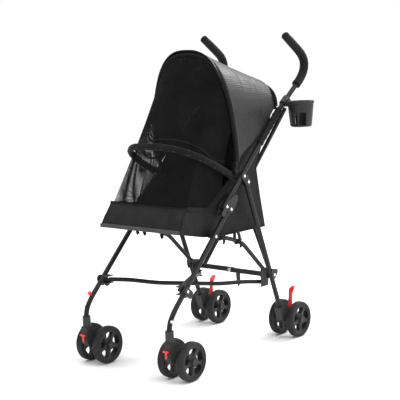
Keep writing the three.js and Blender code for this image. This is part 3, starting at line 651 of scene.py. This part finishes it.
def wheel_data():
    """Tyre and spoked rim about the X axis, centred on the origin, as two sets of faces."""
    half = WHEEL_W / 2
    tyre_profile = [(47.5, 1.5), (50, 0.2), (54, 0), (57, 1.2), (59.1, 4), (59.9, 8), (60, 10.5),
                    (59.2, 11.1), (59.2, 11.9), (60, 12.5)]
    rim_profile = [(41.6, 5), (42.6, 2.0), (45.2, 1.2), (47.6, 2.2)]
    hub_profile = [(4.6, 0.5), (12, 0.5), (15, 1.5), (16.5, 4)]
    tyre, rim, hub = (lathe_data(both_halves(profile, half), steps, close=True)
                      for profile, steps in ((tyre_profile, 72), (rim_profile, 72), (hub_profile, 48)))
    spokes = [spoke_data(math.pi / 2 + math.pi / 5 + 2 * math.pi * i / 5, half) for i in range(5)]
    return tyre, join_data(rim, hub, *spokes)


def spoke_data(angle, half):
    """One spoke: broad where it meets hub and rim, narrow between, with a raised back."""
    radial = [14, 18, 23, 28, 33, 38, 42.5, 45]
    width = [8.5, 7.2, 6.0, 5.6, 6.2, 8.5, 12.5, 15.0]
    depth = [half - 3, half - 4, half - 5, half - 5.4, half - 5.4, half - 4.8, half - 3.6, half - 3.2]
    out = Vector((0, math.cos(angle), math.sin(angle)))
    over = Vector((0, -math.sin(angle), math.cos(angle)))
    vertices = []
    for r, w, d in zip(radial, width, depth):
        outline = [(-w, -d * 0.72), (-w * 0.7, -d), (w * 0.7, -d), (w, -d * 0.72),
                   (w, d * 0.72), (w * 0.7, d), (-w * 0.7, d), (-w, d * 0.72)]
        vertices += [out * r + over * a + Vector((b, 0, 0)) for a, b in outline]
    return vertices, tube_faces(len(radial), len(outline))


def make_wheels():
    tyre, rim = wheel_data()
    for side, sign in SIDES.items():
        for end, (y, z) in (("front", FRONT_AXLE), ("rear", REAR_AXLE)):
            for pair, offset in (("outer", PAIR_HALF), ("inner", -PAIR_HALF)):
                centre = Vector(((FRAME_X + offset) * sign, y, z))
                node_name = f"{side}_{end}_wheel_{pair}"
                body = f"{side}_{end}_{pair}_wheel"
                for part, data, material in (("tyre", tyre, TYRE), ("rim", rim, WHEEL)):
                    vertices = [Vector(v) + centre for v in data[0]]
                    piece = mesh_piece(f"{node_name}_{part}", vertices, data[1], material)
                    attach(piece, body, "wheel", *([node_name] if part == "tyre" else []))


def make_hub_caps():
    """Round caps on the ends of each axle, with a shallow dished face."""
    profile = [(0.01, 3.2), (5, 3.3), (9, 4.0), (11.5, 4.4), (13.2, 3.6), (13.8, 2.0), (13.8, 0.6),
               (0.01, 0.6)]
    for side, sign in SIDES.items():
        axles = (("front", FRONT_AXLE, f"{side}_caster"), ("rear", REAR_AXLE, f"{side}_side"))
        for end, (y, z), body in axles:
            parts = []
            for out in (1, -1):
                centre = Vector(((FRAME_X + out * (PAIR_HALF + WHEEL_W / 2)) * sign, y, z))
                vertices, faces = lathe_data([(r, along * out * sign) for r, along in profile], 36)
                parts.append(([Vector(v) + centre for v in vertices], faces))
            attach(mesh_piece(f"{side}_{end}_hub_caps", *join_data(*parts), WHEEL), body, "plastic")


# ---- red levers, pedals and stud
def slab_data(outline, x_low, x_high):
    """A polygon in the YZ plane made thick along X."""
    count = len(outline)
    vertices = on_side(x_low, outline) + on_side(x_high, outline)
    faces = [tuple(range(count)), tuple(reversed(range(count, 2 * count)))]
    faces += [(i, (i + 1) % count, (i + 1) % count + count, i + count) for i in range(count)]
    return vertices, faces


def pedal_width(share):
    """The pedal is narrower at its neck and at its tip."""
    neck = smoothstep(share, 0.0, 0.4) * (1 - smoothstep(share, 0.5, 0.8))
    return 1.0 - 0.25 * neck - 0.2 * smoothstep(share, 0.85, 1)


def make_red_parts():
    spine = [(288, 97), (291, 110), (293, 128), (295, 143), (301, 155), (312, 163.5)]
    for side, sign in SIDES.items():
        x = FRAME_X * sign
        stops = curve_through(on_side(x, spine), 6)
        blade = sweep_data(stops, oval(9.6, 4.3, 3.2), scale=pedal_width, dome=3)
        pedal = mesh_piece(f"{side}_brake_pedal_red", *blade, RED, 50)
        attach(pedal, f"{side}_pedal", "red_plastic", f"{side}_brake_pedal")
        lock_y = CASTER_Y - 16.2
        stem = box_data((x - 3.5, lock_y - 3.6, 79), (x + 3.5, lock_y - 0.4, 101))
        head = box_data((x - 10, lock_y - 7.5, 98.5), (x + 10, lock_y - 0.8, 104))
        lever = mesh_piece(f"{side}_caster_lock_red", *join_data(stem, head), RED, 50)
        bevel(lever, 1.3)
        attach(lever, f"{side}_lock", "red_plastic", f"{side}_caster_lock")
    dress("latch_stud", RED, 1.2, 50)


# ---- arches
def arch_share(t, power):
    c = math.cos(t)
    return math.copysign(abs(c) ** (2 / power), c), abs(math.sin(t)) ** (2 / power)


def arch_stops(half, rise, power, base, direction, tuck, count):
    stops = []
    for i in range(count + 1):
        across, up = arch_share(math.pi * i / count, power)
        squeeze = tuck * max(0, 1 - up * rise / 60) ** 2
        stops.append(Vector((across * (half - squeeze), base[0] + direction[0] * up * rise,
                             base[1] + direction[1] * up * rise)))
    return stops


def even_stops(stops, step):
    """The same path with stops a fixed distance apart."""
    lengths = [0.0]
    for a, b in zip(stops, stops[1:]):
        lengths.append(lengths[-1] + (b - a).length)
    count = max(int(lengths[-1] / step), 2)
    spaced, j = [], 0
    for i in range(count + 1):
        goal = lengths[-1] * i / count
        while j < len(stops) - 2 and lengths[j + 1] < goal:
            j += 1
        run = max(lengths[j + 1] - lengths[j], 1e-9)
        spaced.append(stops[j].lerp(stops[j + 1], min((goal - lengths[j]) / run, 1)))
    return spaced


def arm_data(sign, x_low, x_high, start, end, radius):
    """A flat arm with round ends."""
    heading = math.atan2(end[1] - start[1], end[0] - start[0])
    outline = []
    for (y, z), turn in ((start, math.pi / 2), (end, -math.pi / 2)):
        for i in range(13):
            angle = heading + turn + math.pi * i / 12
            outline.append((y + radius * math.cos(angle), z + radius * math.sin(angle)))
    return slab_data(outline, x_low * sign, x_high * sign)


HOOP_UP = (math.sin(HOOP_LEAN), math.cos(HOOP_LEAN))
BUMPER_OUT = (-math.cos(BUMPER_LEAN), math.sin(BUMPER_LEAN))


def ruffle(*waves):
    """A sleeve's gathers, as a scale along it. Each wave is (size, turns, start)."""
    def scale(share):
        return 1 + sum(size * math.sin(share * turns + start) for size, turns, start in waves)
    return scale


def make_hoop():
    stops = even_stops(arch_stops(HOOP_HALF, HOOP_RISE, 2.7, HOOP_PIVOT, HOOP_UP, 11, 400), 7)
    bare = sweep_data(stops[2:-2], circle(4, 16))
    arms = [arm_data(sign, 154, 160, HOOP_PIVOT, (23, 618), 7) for sign in (1, -1)]
    metal = mesh_piece("canopy_hoop_wire", *join_data(bare, *arms), TUBE)
    attach(metal, "hood_front", "frame_tube", "canopy_hoop", folds=True)
    gathers = ruffle((0.035, 150, 0), (0.02, 67, 1))
    sleeve = sweep_data(stops[5:-5], oval(6.3, 9.0, 2.4), scale=gathers, dome=2)
    casing = mesh_piece("canopy_hoop_casing", *sleeve, BINDING)
    attach(casing, "hood_front", "fabric", folds=True)
    outer = [s + (s - Vector((0, s.y, 720))).normalized() * 4.5 + Vector((0, 8.0, 0)) for s in stops[5:-5]]
    seam = mesh_piece("canopy_hoop_seam", *sweep_data(outer, circle(1.1, 8)), PIPING)
    attach(seam, "hood_front", "fabric", folds=True)


def make_bumper():
    path = arch_stops(160, BUMPER_REACH, 3, BUMPER_PIVOT, BUMPER_OUT, 6, 400)
    stops = even_stops(path, 6)
    lift = Vector((0, math.sin(BUMPER_LEAN), math.cos(BUMPER_LEAN)))
    gathers = ruffle((0.03, 190, 0), (0.02, 83, 0))
    core = [s for s in stops if math.dist((s.y, s.z), BUMPER_PIVOT) > 38]
    sleeve = sweep_data(core, oval(10.4, 8.2, 2.6), up=lift, scale=gathers, dome=3)
    arms = [arm_data(sign, 147.2, 152, BUMPER_PIVOT, (-22, 593), 8) for sign in (1, -1)]
    metal = mesh_piece("bumper_arms", *join_data(*arms), PLASTIC)
    bevel(metal, 1)
    attach(metal, "bumper", "plastic", folds=True)
    cover = mesh_piece("bumper_sleeve", *sleeve, BINDING)
    attach(cover, "bumper", "fabric", "bumper_bar", folds=True)
    for name, height in (("upper", 9.2), ("lower", -9.2)):
        line = []
        for i, s in enumerate(core):
            tangent = (core[min(i + 1, len(core) - 1)] - core[max(i - 1, 0)]).normalized()
            outward = tangent.cross(lift).normalized()
            away = outward if outward.dot(s - Vector((0, *BUMPER_PIVOT))) > 0 else -outward
            line.append(s + lift * height * 0.86 + away * 4.2)
        piece = mesh_piece(f"bumper_{name}_piping", *sweep_data(line, circle(1.4, 10), dome=1), PIPING)
        attach(piece, "bumper", "fabric", folds=True)


def make_rear_arch():
    path = arch_stops(REAR_ARCH_HALF, REAR_ARCH_RISE, 2.6, REAR_ARCH_BASE, REAR_ARCH_UP, 0, 300)
    stops = even_stops(path, 7)
    metal = mesh_piece("rear_arch_wire", *sweep_data(stops, circle(3.5, 14), dome=1), TUBE)
    attach(metal, "left_side", "frame_tube", "rear_arch", folds=True)
    casing = mesh_piece("rear_arch_casing", *sweep_data(stops[1:-1], oval(7.5, 6, 2.4), dome=1.5), BINDING)
    attach(casing, "left_side", "fabric", folds=True)


# ---- sheets
def quad_area(a, b, c, d):
    return ((b - a).cross(c - a).length + (c - a).cross(d - a).length) / 2


def declare_sheet(point, flat_axes=None, steps=40):
    """Measures a cut of cloth: its area on its own surface and its largest width and length; the values are
    not kept.
    """
    rows = [[point(i / steps, j / steps) for j in range(steps + 1)] for i in range(steps + 1)]
    area = sum(quad_area(rows[i][j], rows[i + 1][j], rows[i + 1][j + 1], rows[i][j + 1])
               for i in range(steps) for j in range(steps))
    if flat_axes:
        spots = [spot for row in rows for spot in row]
        width, length = (max(spot[k] for spot in spots) - min(spot[k] for spot in spots) for k in flat_axes)
    else:
        width = max(sum((a - b).length for a, b in zip(column, column[1:])) for column in zip(*rows))
        length = max(sum((a - b).length for a, b in zip(row, row[1:])) for row in rows)


# ---- canopy
CANOPY_HALF = 166
CANOPY_RISE = 378
CORE = Vector((0, 100, 680))
REAR_FOOT = Vector((0, 142, 690))
REAR_CORNER = Vector((0, 254, 786))
REAR_BULGE = Vector((0, 18, 92 / 0.45))
CORNER_UP = 0.55


def to_core(point):
    return (CORE - Vector(point)).normalized()


def edge_share(v, power):
    """Both edges of the canopy start and end just above their pivots."""
    return arch_share(math.pi * (0.003 + 0.994 * v), power)


def front_edge(v):
    across, up = edge_share(v, 2.7)
    rise = up * CANOPY_RISE
    half = CANOPY_HALF - 9 * max(0, 1 - rise / 60) ** 2
    return Vector((across * half, HOOP_PIVOT[0] + rise * HOOP_UP[0], HOOP_PIVOT[1] + 4 + rise * HOOP_UP[1]))


def rear_edge(v):
    """Up along the handle tube, then over the rear arch."""
    across, up = edge_share(v, 3.4)
    spot = REAR_FOOT.lerp(REAR_CORNER, min(up / CORNER_UP, 1)) + REAR_BULGE * max(0, up - CORNER_UP)
    return Vector((across * CANOPY_HALF, spot.y, spot.z))


def canopy_point(u, v, rise=0.0):
    """The taut cover between hoop (u = 0) and rear arch (u = 1), with faint folds down its sides."""
    point = front_edge(v).lerp(rear_edge(v), u)
    draw = 3.0 * math.sin(math.pi * u) * math.sin(math.pi * v) ** 0.5
    low = 1 - smoothstep(abs(v - 0.5), 0.0, 0.42)
    folds = 0.9 * (1 - low) * math.sin(7 * u + 14 * v) + 0.35 * math.sin(5 * u - 13 * v)
    return point + to_core(point) * (draw + folds - rise)


def make_canopy():
    spans = {"front": (-0.035, 0.372, 0.9, "hood_front"), "middle": (0.35, 0.672, 0.45, "hood_middle"),
             "rear": (0.65, 0.985, 0.0, "left_side")}
    for name, (start, end, rise, body) in spans.items():
        def point(u, v, start=start, end=end, rise=rise):
            return canopy_point(start + (end - start) * u, v, rise)

        piece = mesh_piece(f"canopy_{name}", *grid_data(point, 26, 110), CANOPY, 80)
        thicken(piece, 0.7)
        attach(piece, body, "fabric", f"canopy_{name}_panel", folds=True)
        declare_sheet(point)
    for v, side in ((0.0, "left"), (1.0, "right")):
        for name, (start, end, rise, body) in spans.items():
            line = [canopy_point(start + (end - start) * i / 20, v, rise * 0.5) for i in range(21)]
            hem = mesh_piece(f"canopy_{side}_{name}_hem", *sweep_data(line, oval(3.4, 2.2, 2.2, 14)), BINDING)
            attach(hem, body, "fabric", folds=True)


# ---- handle sleeves of the canopy
def make_sleeves():
    """The canopy's lower edge is a sleeve round each handle tube."""
    run = rounded(on_side(FRAME_X, HANDLE), 30)
    points = [p for p in even_stops(run, 4) if 138 <= p.y <= 254]
    for side, sign in SIDES.items():
        stops = [Vector((p.x * sign, p.y, p.z)) for p in points]
        gathers = ruffle((0.05, 40, 0), (0.03, 71, 0))
        sleeve = sweep_data(stops, oval(10.4, 11.5, 2.2), scale=gathers, dome=1.5)
        piece = mesh_piece(f"canopy_{side}_sleeve", *sleeve, CLOTH, 60)
        attach(piece, f"{side}_side", "fabric")


# ---- cabin
APRON_LINE = [(-267, 438), (-222, 504)]
FLOOR_LINE = [APRON_LINE[0], (-136, 408), (-60, 397), (190, 392)]
STRIP_LINE = [APRON_LINE[1], (-136, 489), (-110, 486), (-67, 515), (18, 570)]
BACK_LINE = [(190, 392), (166, 500), (151, 592), (186, 668), (226, 732), (250, 776)]


def cabin_half(y):
    share = min(max((-136 - y) / (267 - 136), 0), 1)
    return 146 + 15 * share


def along(line, t):
    """The point at share t of a polyline, by length."""
    points = [Vector((*p, 0)) for p in line]
    lengths = [(b - a).length for a, b in zip(points, points[1:])]
    goal = t * sum(lengths)
    for a, b, run in zip(points, points[1:], lengths):
        if goal <= run:
            p = a.lerp(b, goal / run)
            return p.x, p.y
        goal -= run
    return points[-1].x, points[-1].y


def side_panel_point(s, t):
    """The side of the cabin, from the floor line (t = 0) to the strip along the frame (t = 1)."""
    bottom = Vector((*along(FLOOR_LINE, s), 0))
    top_line = [*STRIP_LINE, (28, 604), (62, 640), (150, 706), (250, 776)]
    top = Vector((*along(top_line, s), 0))
    front = Vector((*along(APRON_LINE, t), 0))
    back = Vector((*along(BACK_LINE, t), 0))
    corners = [Vector((*spot, 0)) for spot in (FLOOR_LINE[0], FLOOR_LINE[-1], APRON_LINE[1], BACK_LINE[-1])]
    ruled = bottom.lerp(top, t) + front.lerp(back, s)
    flat = corners[0].lerp(corners[1], s).lerp(corners[2].lerp(corners[3], s), t)
    return ruled - flat


def cabin_side_point(sign, s, t):
    p = side_panel_point(s, t)
    belly = 5.0 * math.sin(math.pi * min(s * 1.05, 1)) * math.sin(math.pi * t)
    crease = 0.9 * math.sin(9 * s + 5 * t) * math.sin(math.pi * t)
    crease += 2 * math.sin(23 * s - 11 * t) * t * (1 - t)
    return Vector((sign * (cabin_half(p.x) + belly + crease), p.x, p.y))


def across_point(line, s, t, sag, inwards):
    """A panel from side to side over a line of (y, z): s is from left to right, t along the line."""
    y, z = along(line, t)
    half = cabin_half(y)
    droop = sag * math.sin(math.pi * s) * math.sin(math.pi * t)
    wave = 0.6 * math.sin(13 * s + 4 * t) * math.sin(math.pi * s)
    return Vector((half - 2 * half * s, y + inwards[0] * (droop + wave), z + inwards[1] * (droop + wave)))


def make_cabin():
    parts = {
        "cabin_left_panel": (lambda s, t: cabin_side_point(1, s, t), 60, 36),
        "cabin_right_panel": (lambda s, t: cabin_side_point(-1, s, t), 60, 36),
        "cabin_apron": (lambda s, t: across_point(APRON_LINE, s, t, 3, (-1, 0)), 60, 14),
        "cabin_floor": (lambda s, t: across_point(FLOOR_LINE, s, t, 2.5, (0, -1)), 40, 50),
        "cabin_back": (lambda s, t: across_point(BACK_LINE, s, t, 5, (1, 0.2)), 40, 50),
    }
    for name, (point, columns, rows) in parts.items():
        piece = mesh_piece(name, *grid_data(point, columns, rows), CLOTH, 80)
        thicken(piece, 1.6, 0)
        attach(piece, "left_side", "fabric", *(["cabin"] if name == "cabin_floor" else []), folds=True)
        declare_sheet(point,
                      (1, 2) if name.endswith("panel") else None)
    make_rear_curtain()
    make_cabin_hems()


def make_rear_curtain():
    """The back of the canopy: it closes the rear arch above the cabin's back."""
    def point(s, t):
        top = canopy_point(0.98, 0.118 + 0.764 * s)
        bottom = Vector((159 - 318 * s, 250, 773))
        return bottom.lerp(top, t) + Vector((0, 3 * math.sin(math.pi * s) * math.sin(math.pi * t), 0))

    piece = mesh_piece("canopy_back_curtain", *grid_data(point, 80, 14), CLOTH, 80)
    thicken(piece, 1.4, 0)
    attach(piece, "left_side", "fabric", folds=True)
    declare_sheet(point, steps=80)


def hem_piece(name, points, section, material, body="left_side", up=(0, 0, 1)):
    piece = mesh_piece(name, *sweep_data(points, section, up=up, dome=1.2), material, 60)
    return attach(piece, body, "fabric", folds=True)


def make_cabin_hems():
    """Bindings along the cabin's edges; each side has name, steps, section, material, up, offset and edge."""
    edges = [
        ("strip", 60, oval(7.5, 2.0, 2.6), BINDING, (0, 0, 1), 1.2, lambda share: (share, 1.0)),
        ("hem", 50, oval(3.2, 1.8, 2.4, 16), BINDING, (0, 0, 1), 0.8, lambda share: (share, 0.0)),
        ("back_seam", 30, oval(2.2, 1.6, 2.2, 14), BINDING, (0, 1, 0), 0, lambda share: (1.0, share)),
        ("front_seam", 12, oval(2.0, 1.6, 2.2, 14), CLOTH, (0, 1, 0), 0, lambda share: (0.0, share)),
    ]
    for sign, side in ((1, "left"), (-1, "right")):
        for name, steps, section, material, up, out, edge in edges:
            line = [cabin_side_point(sign, *edge(i / steps)) + Vector((sign * out, 0, 0))
                    for i in range(steps + 1)]
            hem_piece(f"cabin_{side}_{name}", line, section, material, up=up)
    front_hem = [across_point(APRON_LINE, i / 60, 0, 3, (-1, 0)) + Vector((0, -1, 2))
                 for i in range(61)]
    hem_piece("apron_hem", front_hem, oval(6.5, 3.0, 2.4, 20), HEM)
    top = [across_point(APRON_LINE, i / 60, 1, 3, (-1, 0)) for i in range(61)]
    hem_piece("apron_top_binding", top, oval(3.2, 2.0, 2.4, 16), BINDING)


# ---- net screen
SCREEN_CORNER = Vector((150, -219, 501))
SCREEN_BEND = Vector((146, -112, 487))
SCREEN_END = Vector((146, 6, 566))
FRONT_SHARE = 0.42
RAIL_SHARE = 0.72
SCREEN_RISE = 367
SCREEN_DRAW = 6
SIDE_DRAW = 14


def screen_foot(v):
    """The net's lower edge: along the apron, back beside the seat and up to the hoop's pivot."""
    share = abs(v - 0.5) * 2
    if share < FRONT_SHARE:
        across = share / FRONT_SHARE
        spot = SCREEN_CORNER + Vector((-SCREEN_CORNER.x * (1 - across), -4 * (1 - across), 0))
    elif share < RAIL_SHARE:
        spot = SCREEN_CORNER.lerp(SCREEN_BEND, (share - FRONT_SHARE) / (RAIL_SHARE - FRONT_SHARE))
    else:
        spot = SCREEN_BEND.lerp(SCREEN_END, (share - RAIL_SHARE) / (1 - RAIL_SHARE))
    return Vector((spot.x if v < 0.5 else -spot.x, spot.y, spot.z))


def screen_head(v):
    across, up = arch_share(math.pi * (0.03 + 0.94 * v), 2.7)
    rise = up * SCREEN_RISE
    return Vector((across * 161, HOOP_PIVOT[0] - 8 + rise * HOOP_UP[0], HOOP_PIVOT[1] + rise * HOOP_UP[1]))


def screen_point(share, v):
    spot = 0.05 + 0.9 * v
    point = screen_head(spot).lerp(screen_foot(spot), share)
    side = smoothstep(abs(spot - 0.5), 0.3, 0.42)
    return point + to_core(point) * (SCREEN_DRAW + SIDE_DRAW * side) * math.sin(math.pi * share)


def net_data(point, rows, columns, hole):
    """A lattice of flat threads: every cell of the grid keeps a hole of the given share of its width."""
    vertices = [point(i / rows, j / columns) for i in range(rows + 1) for j in range(columns + 1)]
    faces = []
    for i in range(rows):
        for j in range(columns):
            first = i * (columns + 1) + j
            corners = (first, first + columns + 1, first + columns + 2, first + 1)
            centre = sum((vertices[corner] for corner in corners), Vector()) / 4
            inner = len(vertices)
            vertices += [centre.lerp(vertices[corner], hole) for corner in corners]
            faces += [(corners[k], corners[(k + 1) % 4], inner + (k + 1) % 4, inner + k) for k in range(4)]
    return vertices, faces


def make_screen():
    """Two nets of real threads that meet behind the bumper bar."""
    nets = (("upper", 0.0, 0.56, 84, "hood_front"), ("lower", 0.555, 1.0, 66, "left_side"))
    for name, start, end, rows, body in nets:
        def point(u, v, start=start, end=end):
            return screen_point(start + (end - start) * u, v)

        piece = mesh_piece(f"screen_{name}_net", *net_data(point, rows, 210, 0.66), NET, 180)
        thicken(piece, 0.55, 0)
        attach(piece, body, "mesh", f"screen_{name}", folds=True)
        declare_sheet(point)
    for name, share, body in (("upper", 0.558, "hood_front"), ("lower", 0.998, "left_side")):
        line = [screen_point(share, i / 120) for i in range(121)]
        hem_piece(f"screen_{name}_binding", line, oval(3.0, 0.9, 2.4, 14), BINDING, body)


# ---- pad inside the cabin
PAD_CHANNELS = (34, -45, 112)
PAD_CROWN = 416


def make_pad():
    """A quilted pad on the floor board: inflated a little, then pressed in along its sewn channels."""
    pad = mesh_piece("cabin_pad", *box_data((-128, -104, 409), (128, 172, 421)), LINING, 60)
    inflate(pad, 0.006, 0.007)
    for v in pad.data.vertices:
        y, z = (v.co.y - ORIGIN.y) * 1000, v.co.z * 1000
        if z > PAD_CROWN:
            v.co.z -= 0.004 * sum(math.exp(-((y - line) / 4) ** 2) for line in PAD_CHANNELS)
    attach(pad, "left_side", "fabric", folds=True)


def make_board():
    """The covered board under the pad."""
    outline = [(-60, 400.5), (180, 396.5), (180, 402.5), (-60, 406.5)]
    board = mesh_piece("cabin_board", *slab_data(outline, -136, 136), LINING, 30)
    bevel(board, 1.2)
    attach(board, "left_side", "fabric", "floor_board", folds=True)


def inflate(piece, voxel, cap):
    """Cloth simulation with air pressure: the piece swells between its seams, by at most cap metres."""
    scene = bpy.context.scene
    remesh = piece.modifiers.new("remesh", "REMESH")
    remesh.mode = "VOXEL"
    remesh.voxel_size = voxel
    apply_all(piece)
    rest = np.array([v.co for v in piece.data.vertices])
    cloth = piece.modifiers.new("cloth", "CLOTH")
    cloth.settings.use_pressure = True
    cloth.settings.uniform_pressure_force = 4
    cloth.settings.effector_weights.gravity = 0
    cloth.settings.quality = 5
    cloth.point_cache.frame_start = 1
    cloth.point_cache.frame_end = 20
    for number in range(1, 21):
        scene.frame_set(number)
    evaluated = piece.evaluated_get(bpy.context.evaluated_depsgraph_get())
    moved = np.array([v.co for v in evaluated.data.vertices]) - rest
    piece.modifiers.remove(cloth)
    scene.frame_set(1)
    reach = np.linalg.norm(moved, axis=1, keepdims=True)
    moved *= np.minimum(1, cap / np.maximum(reach, 1e-9))
    piece.data.vertices.foreach_set("co", (rest + moved).astype(np.float32).ravel())
    piece.data.update()
    smooth(piece, 60)
    finer = piece.modifiers.new("finer", "SUBSURF")
    finer.levels = finer.render_levels = 1
    apply_all(piece)


def apply_all(piece):
    """Turns the evaluated mesh into the piece's own mesh."""
    evaluated = piece.evaluated_get(bpy.context.evaluated_depsgraph_get())
    mesh = bpy.data.meshes.new_from_object(evaluated)
    piece.modifiers.clear()
    piece.data = mesh


# ---- straps under the cabin
STRAP_SPOTS = ((-96, 403), (-62, 394), (24, 368))
HEM_Z = 400


def strap_data(sign, y, tube_z):
    """A loop from the hem round the seat tube, its buckle and its loose end."""
    def spot(out, along_y, z):
        return Vector(((SEAT_TUBE_X + out) * sign, y + along_y, z))

    half_way = (tube_z + HEM_Z) / 2
    loop = [spot(-9, 0, HEM_Z), spot(-9.5, 0, half_way), spot(-8.6, 0, tube_z), spot(-3, 0, tube_z - 8.2),
            spot(3, 0, tube_z - 8.2), spot(8.6, 0, tube_z), spot(9.5, 0, half_way), spot(3, 0, HEM_Z + 1)]
    loose_end = [spot(9.5, 2, tube_z + 3), spot(12, 3, tube_z - 9), spot(9, 6, tube_z - 21)]
    strap = sweep_data(curve_through(loop, 5), oval(8, 0.9, 3, 16), up=(0, 1, 0))
    buckle = box_data(spot(8.4, -9, tube_z + 3), spot(12.4, 9, tube_z + 9))
    tail = sweep_data(curve_through(loose_end, 5), oval(7, 0.8, 3, 16), up=(0, 1, 0))
    return join_data(strap, buckle, tail)


def make_straps():
    """Short webbing loops that tie the cabin's hem to the seat tubes, each with a small buckle."""
    for side, sign in SIDES.items():
        for number, (y, tube_z) in enumerate(STRAP_SPOTS):
            piece = mesh_piece(f"{side}_strap_{number}", *strap_data(sign, y, tube_z), WEBBING, 60)
            attach(piece, f"{side}_side", "fabric")


# ---- cup holder
CUP_HEIGHT = 84
CUP_SLOTS = ((-1.41, 4.2), (2.78, 4.2), (-0.83, 11.0))


def make_cup_holder():
    """A tapered cup with a lip, two narrow slits and one window."""
    top = CUP_HEIGHT
    profile = [(0.01, 0), (31, 0), (34, 1.5), (35.5, 4), (42.6, top - 9), (44.0, top - 8), (44.6, top - 6),
               (44.6, top - 2), (43.8, top), (42.2, top), (41.4, top - 1.5), (40.6, top - 6), (33, 5),
               (30.6, 3), (0.01, 3)]
    steps = 64
    vertices = [Vector(CUP) + Vector((r * c, r * s, z)) for c, s in round_steps(steps) for r, z in profile]
    cup = mesh_piece("cup_holder_body", vertices, turned_faces(steps, len(profile)), PLASTIC, 40)
    for number, (angle, half) in enumerate(CUP_SLOTS):
        tool_vertices, tool_faces = box_data((26, -half, 5), (60, half, 48))
        turn = Matrix.Rotation(angle, 3, "Z")
        tool_vertices = [turn @ Vector(v) + Vector(CUP) for v in tool_vertices]
        tool = mesh_piece(f"tool_{number}", tool_vertices, tool_faces, PLASTIC)
        bevel(tool, 2.5, 4)
        hole = cup.modifiers.new("slot", "BOOLEAN")
        hole.operation = "DIFFERENCE"
        hole.object = tool
        hole.solver = "EXACT"
    apply_all(cup)
    for number in range(len(CUP_SLOTS)):
        bpy.data.objects.remove(bpy.data.objects[f"tool_{number}"])
    smooth(cup, 40)
    attach(cup, "left_side", "plastic", "cup_holder")


# ---- the whole stroller
make_side_tubes()
make_cross_tubes()
make_grips()
finish_cad_nodes()
make_rivets()
make_wheels()
make_hub_caps()
make_red_parts()
make_hoop()
make_bumper()
make_rear_arch()
make_canopy()
make_sleeves()
make_cabin()
make_screen()
make_board()
make_pad()
make_straps()
make_cup_holder()
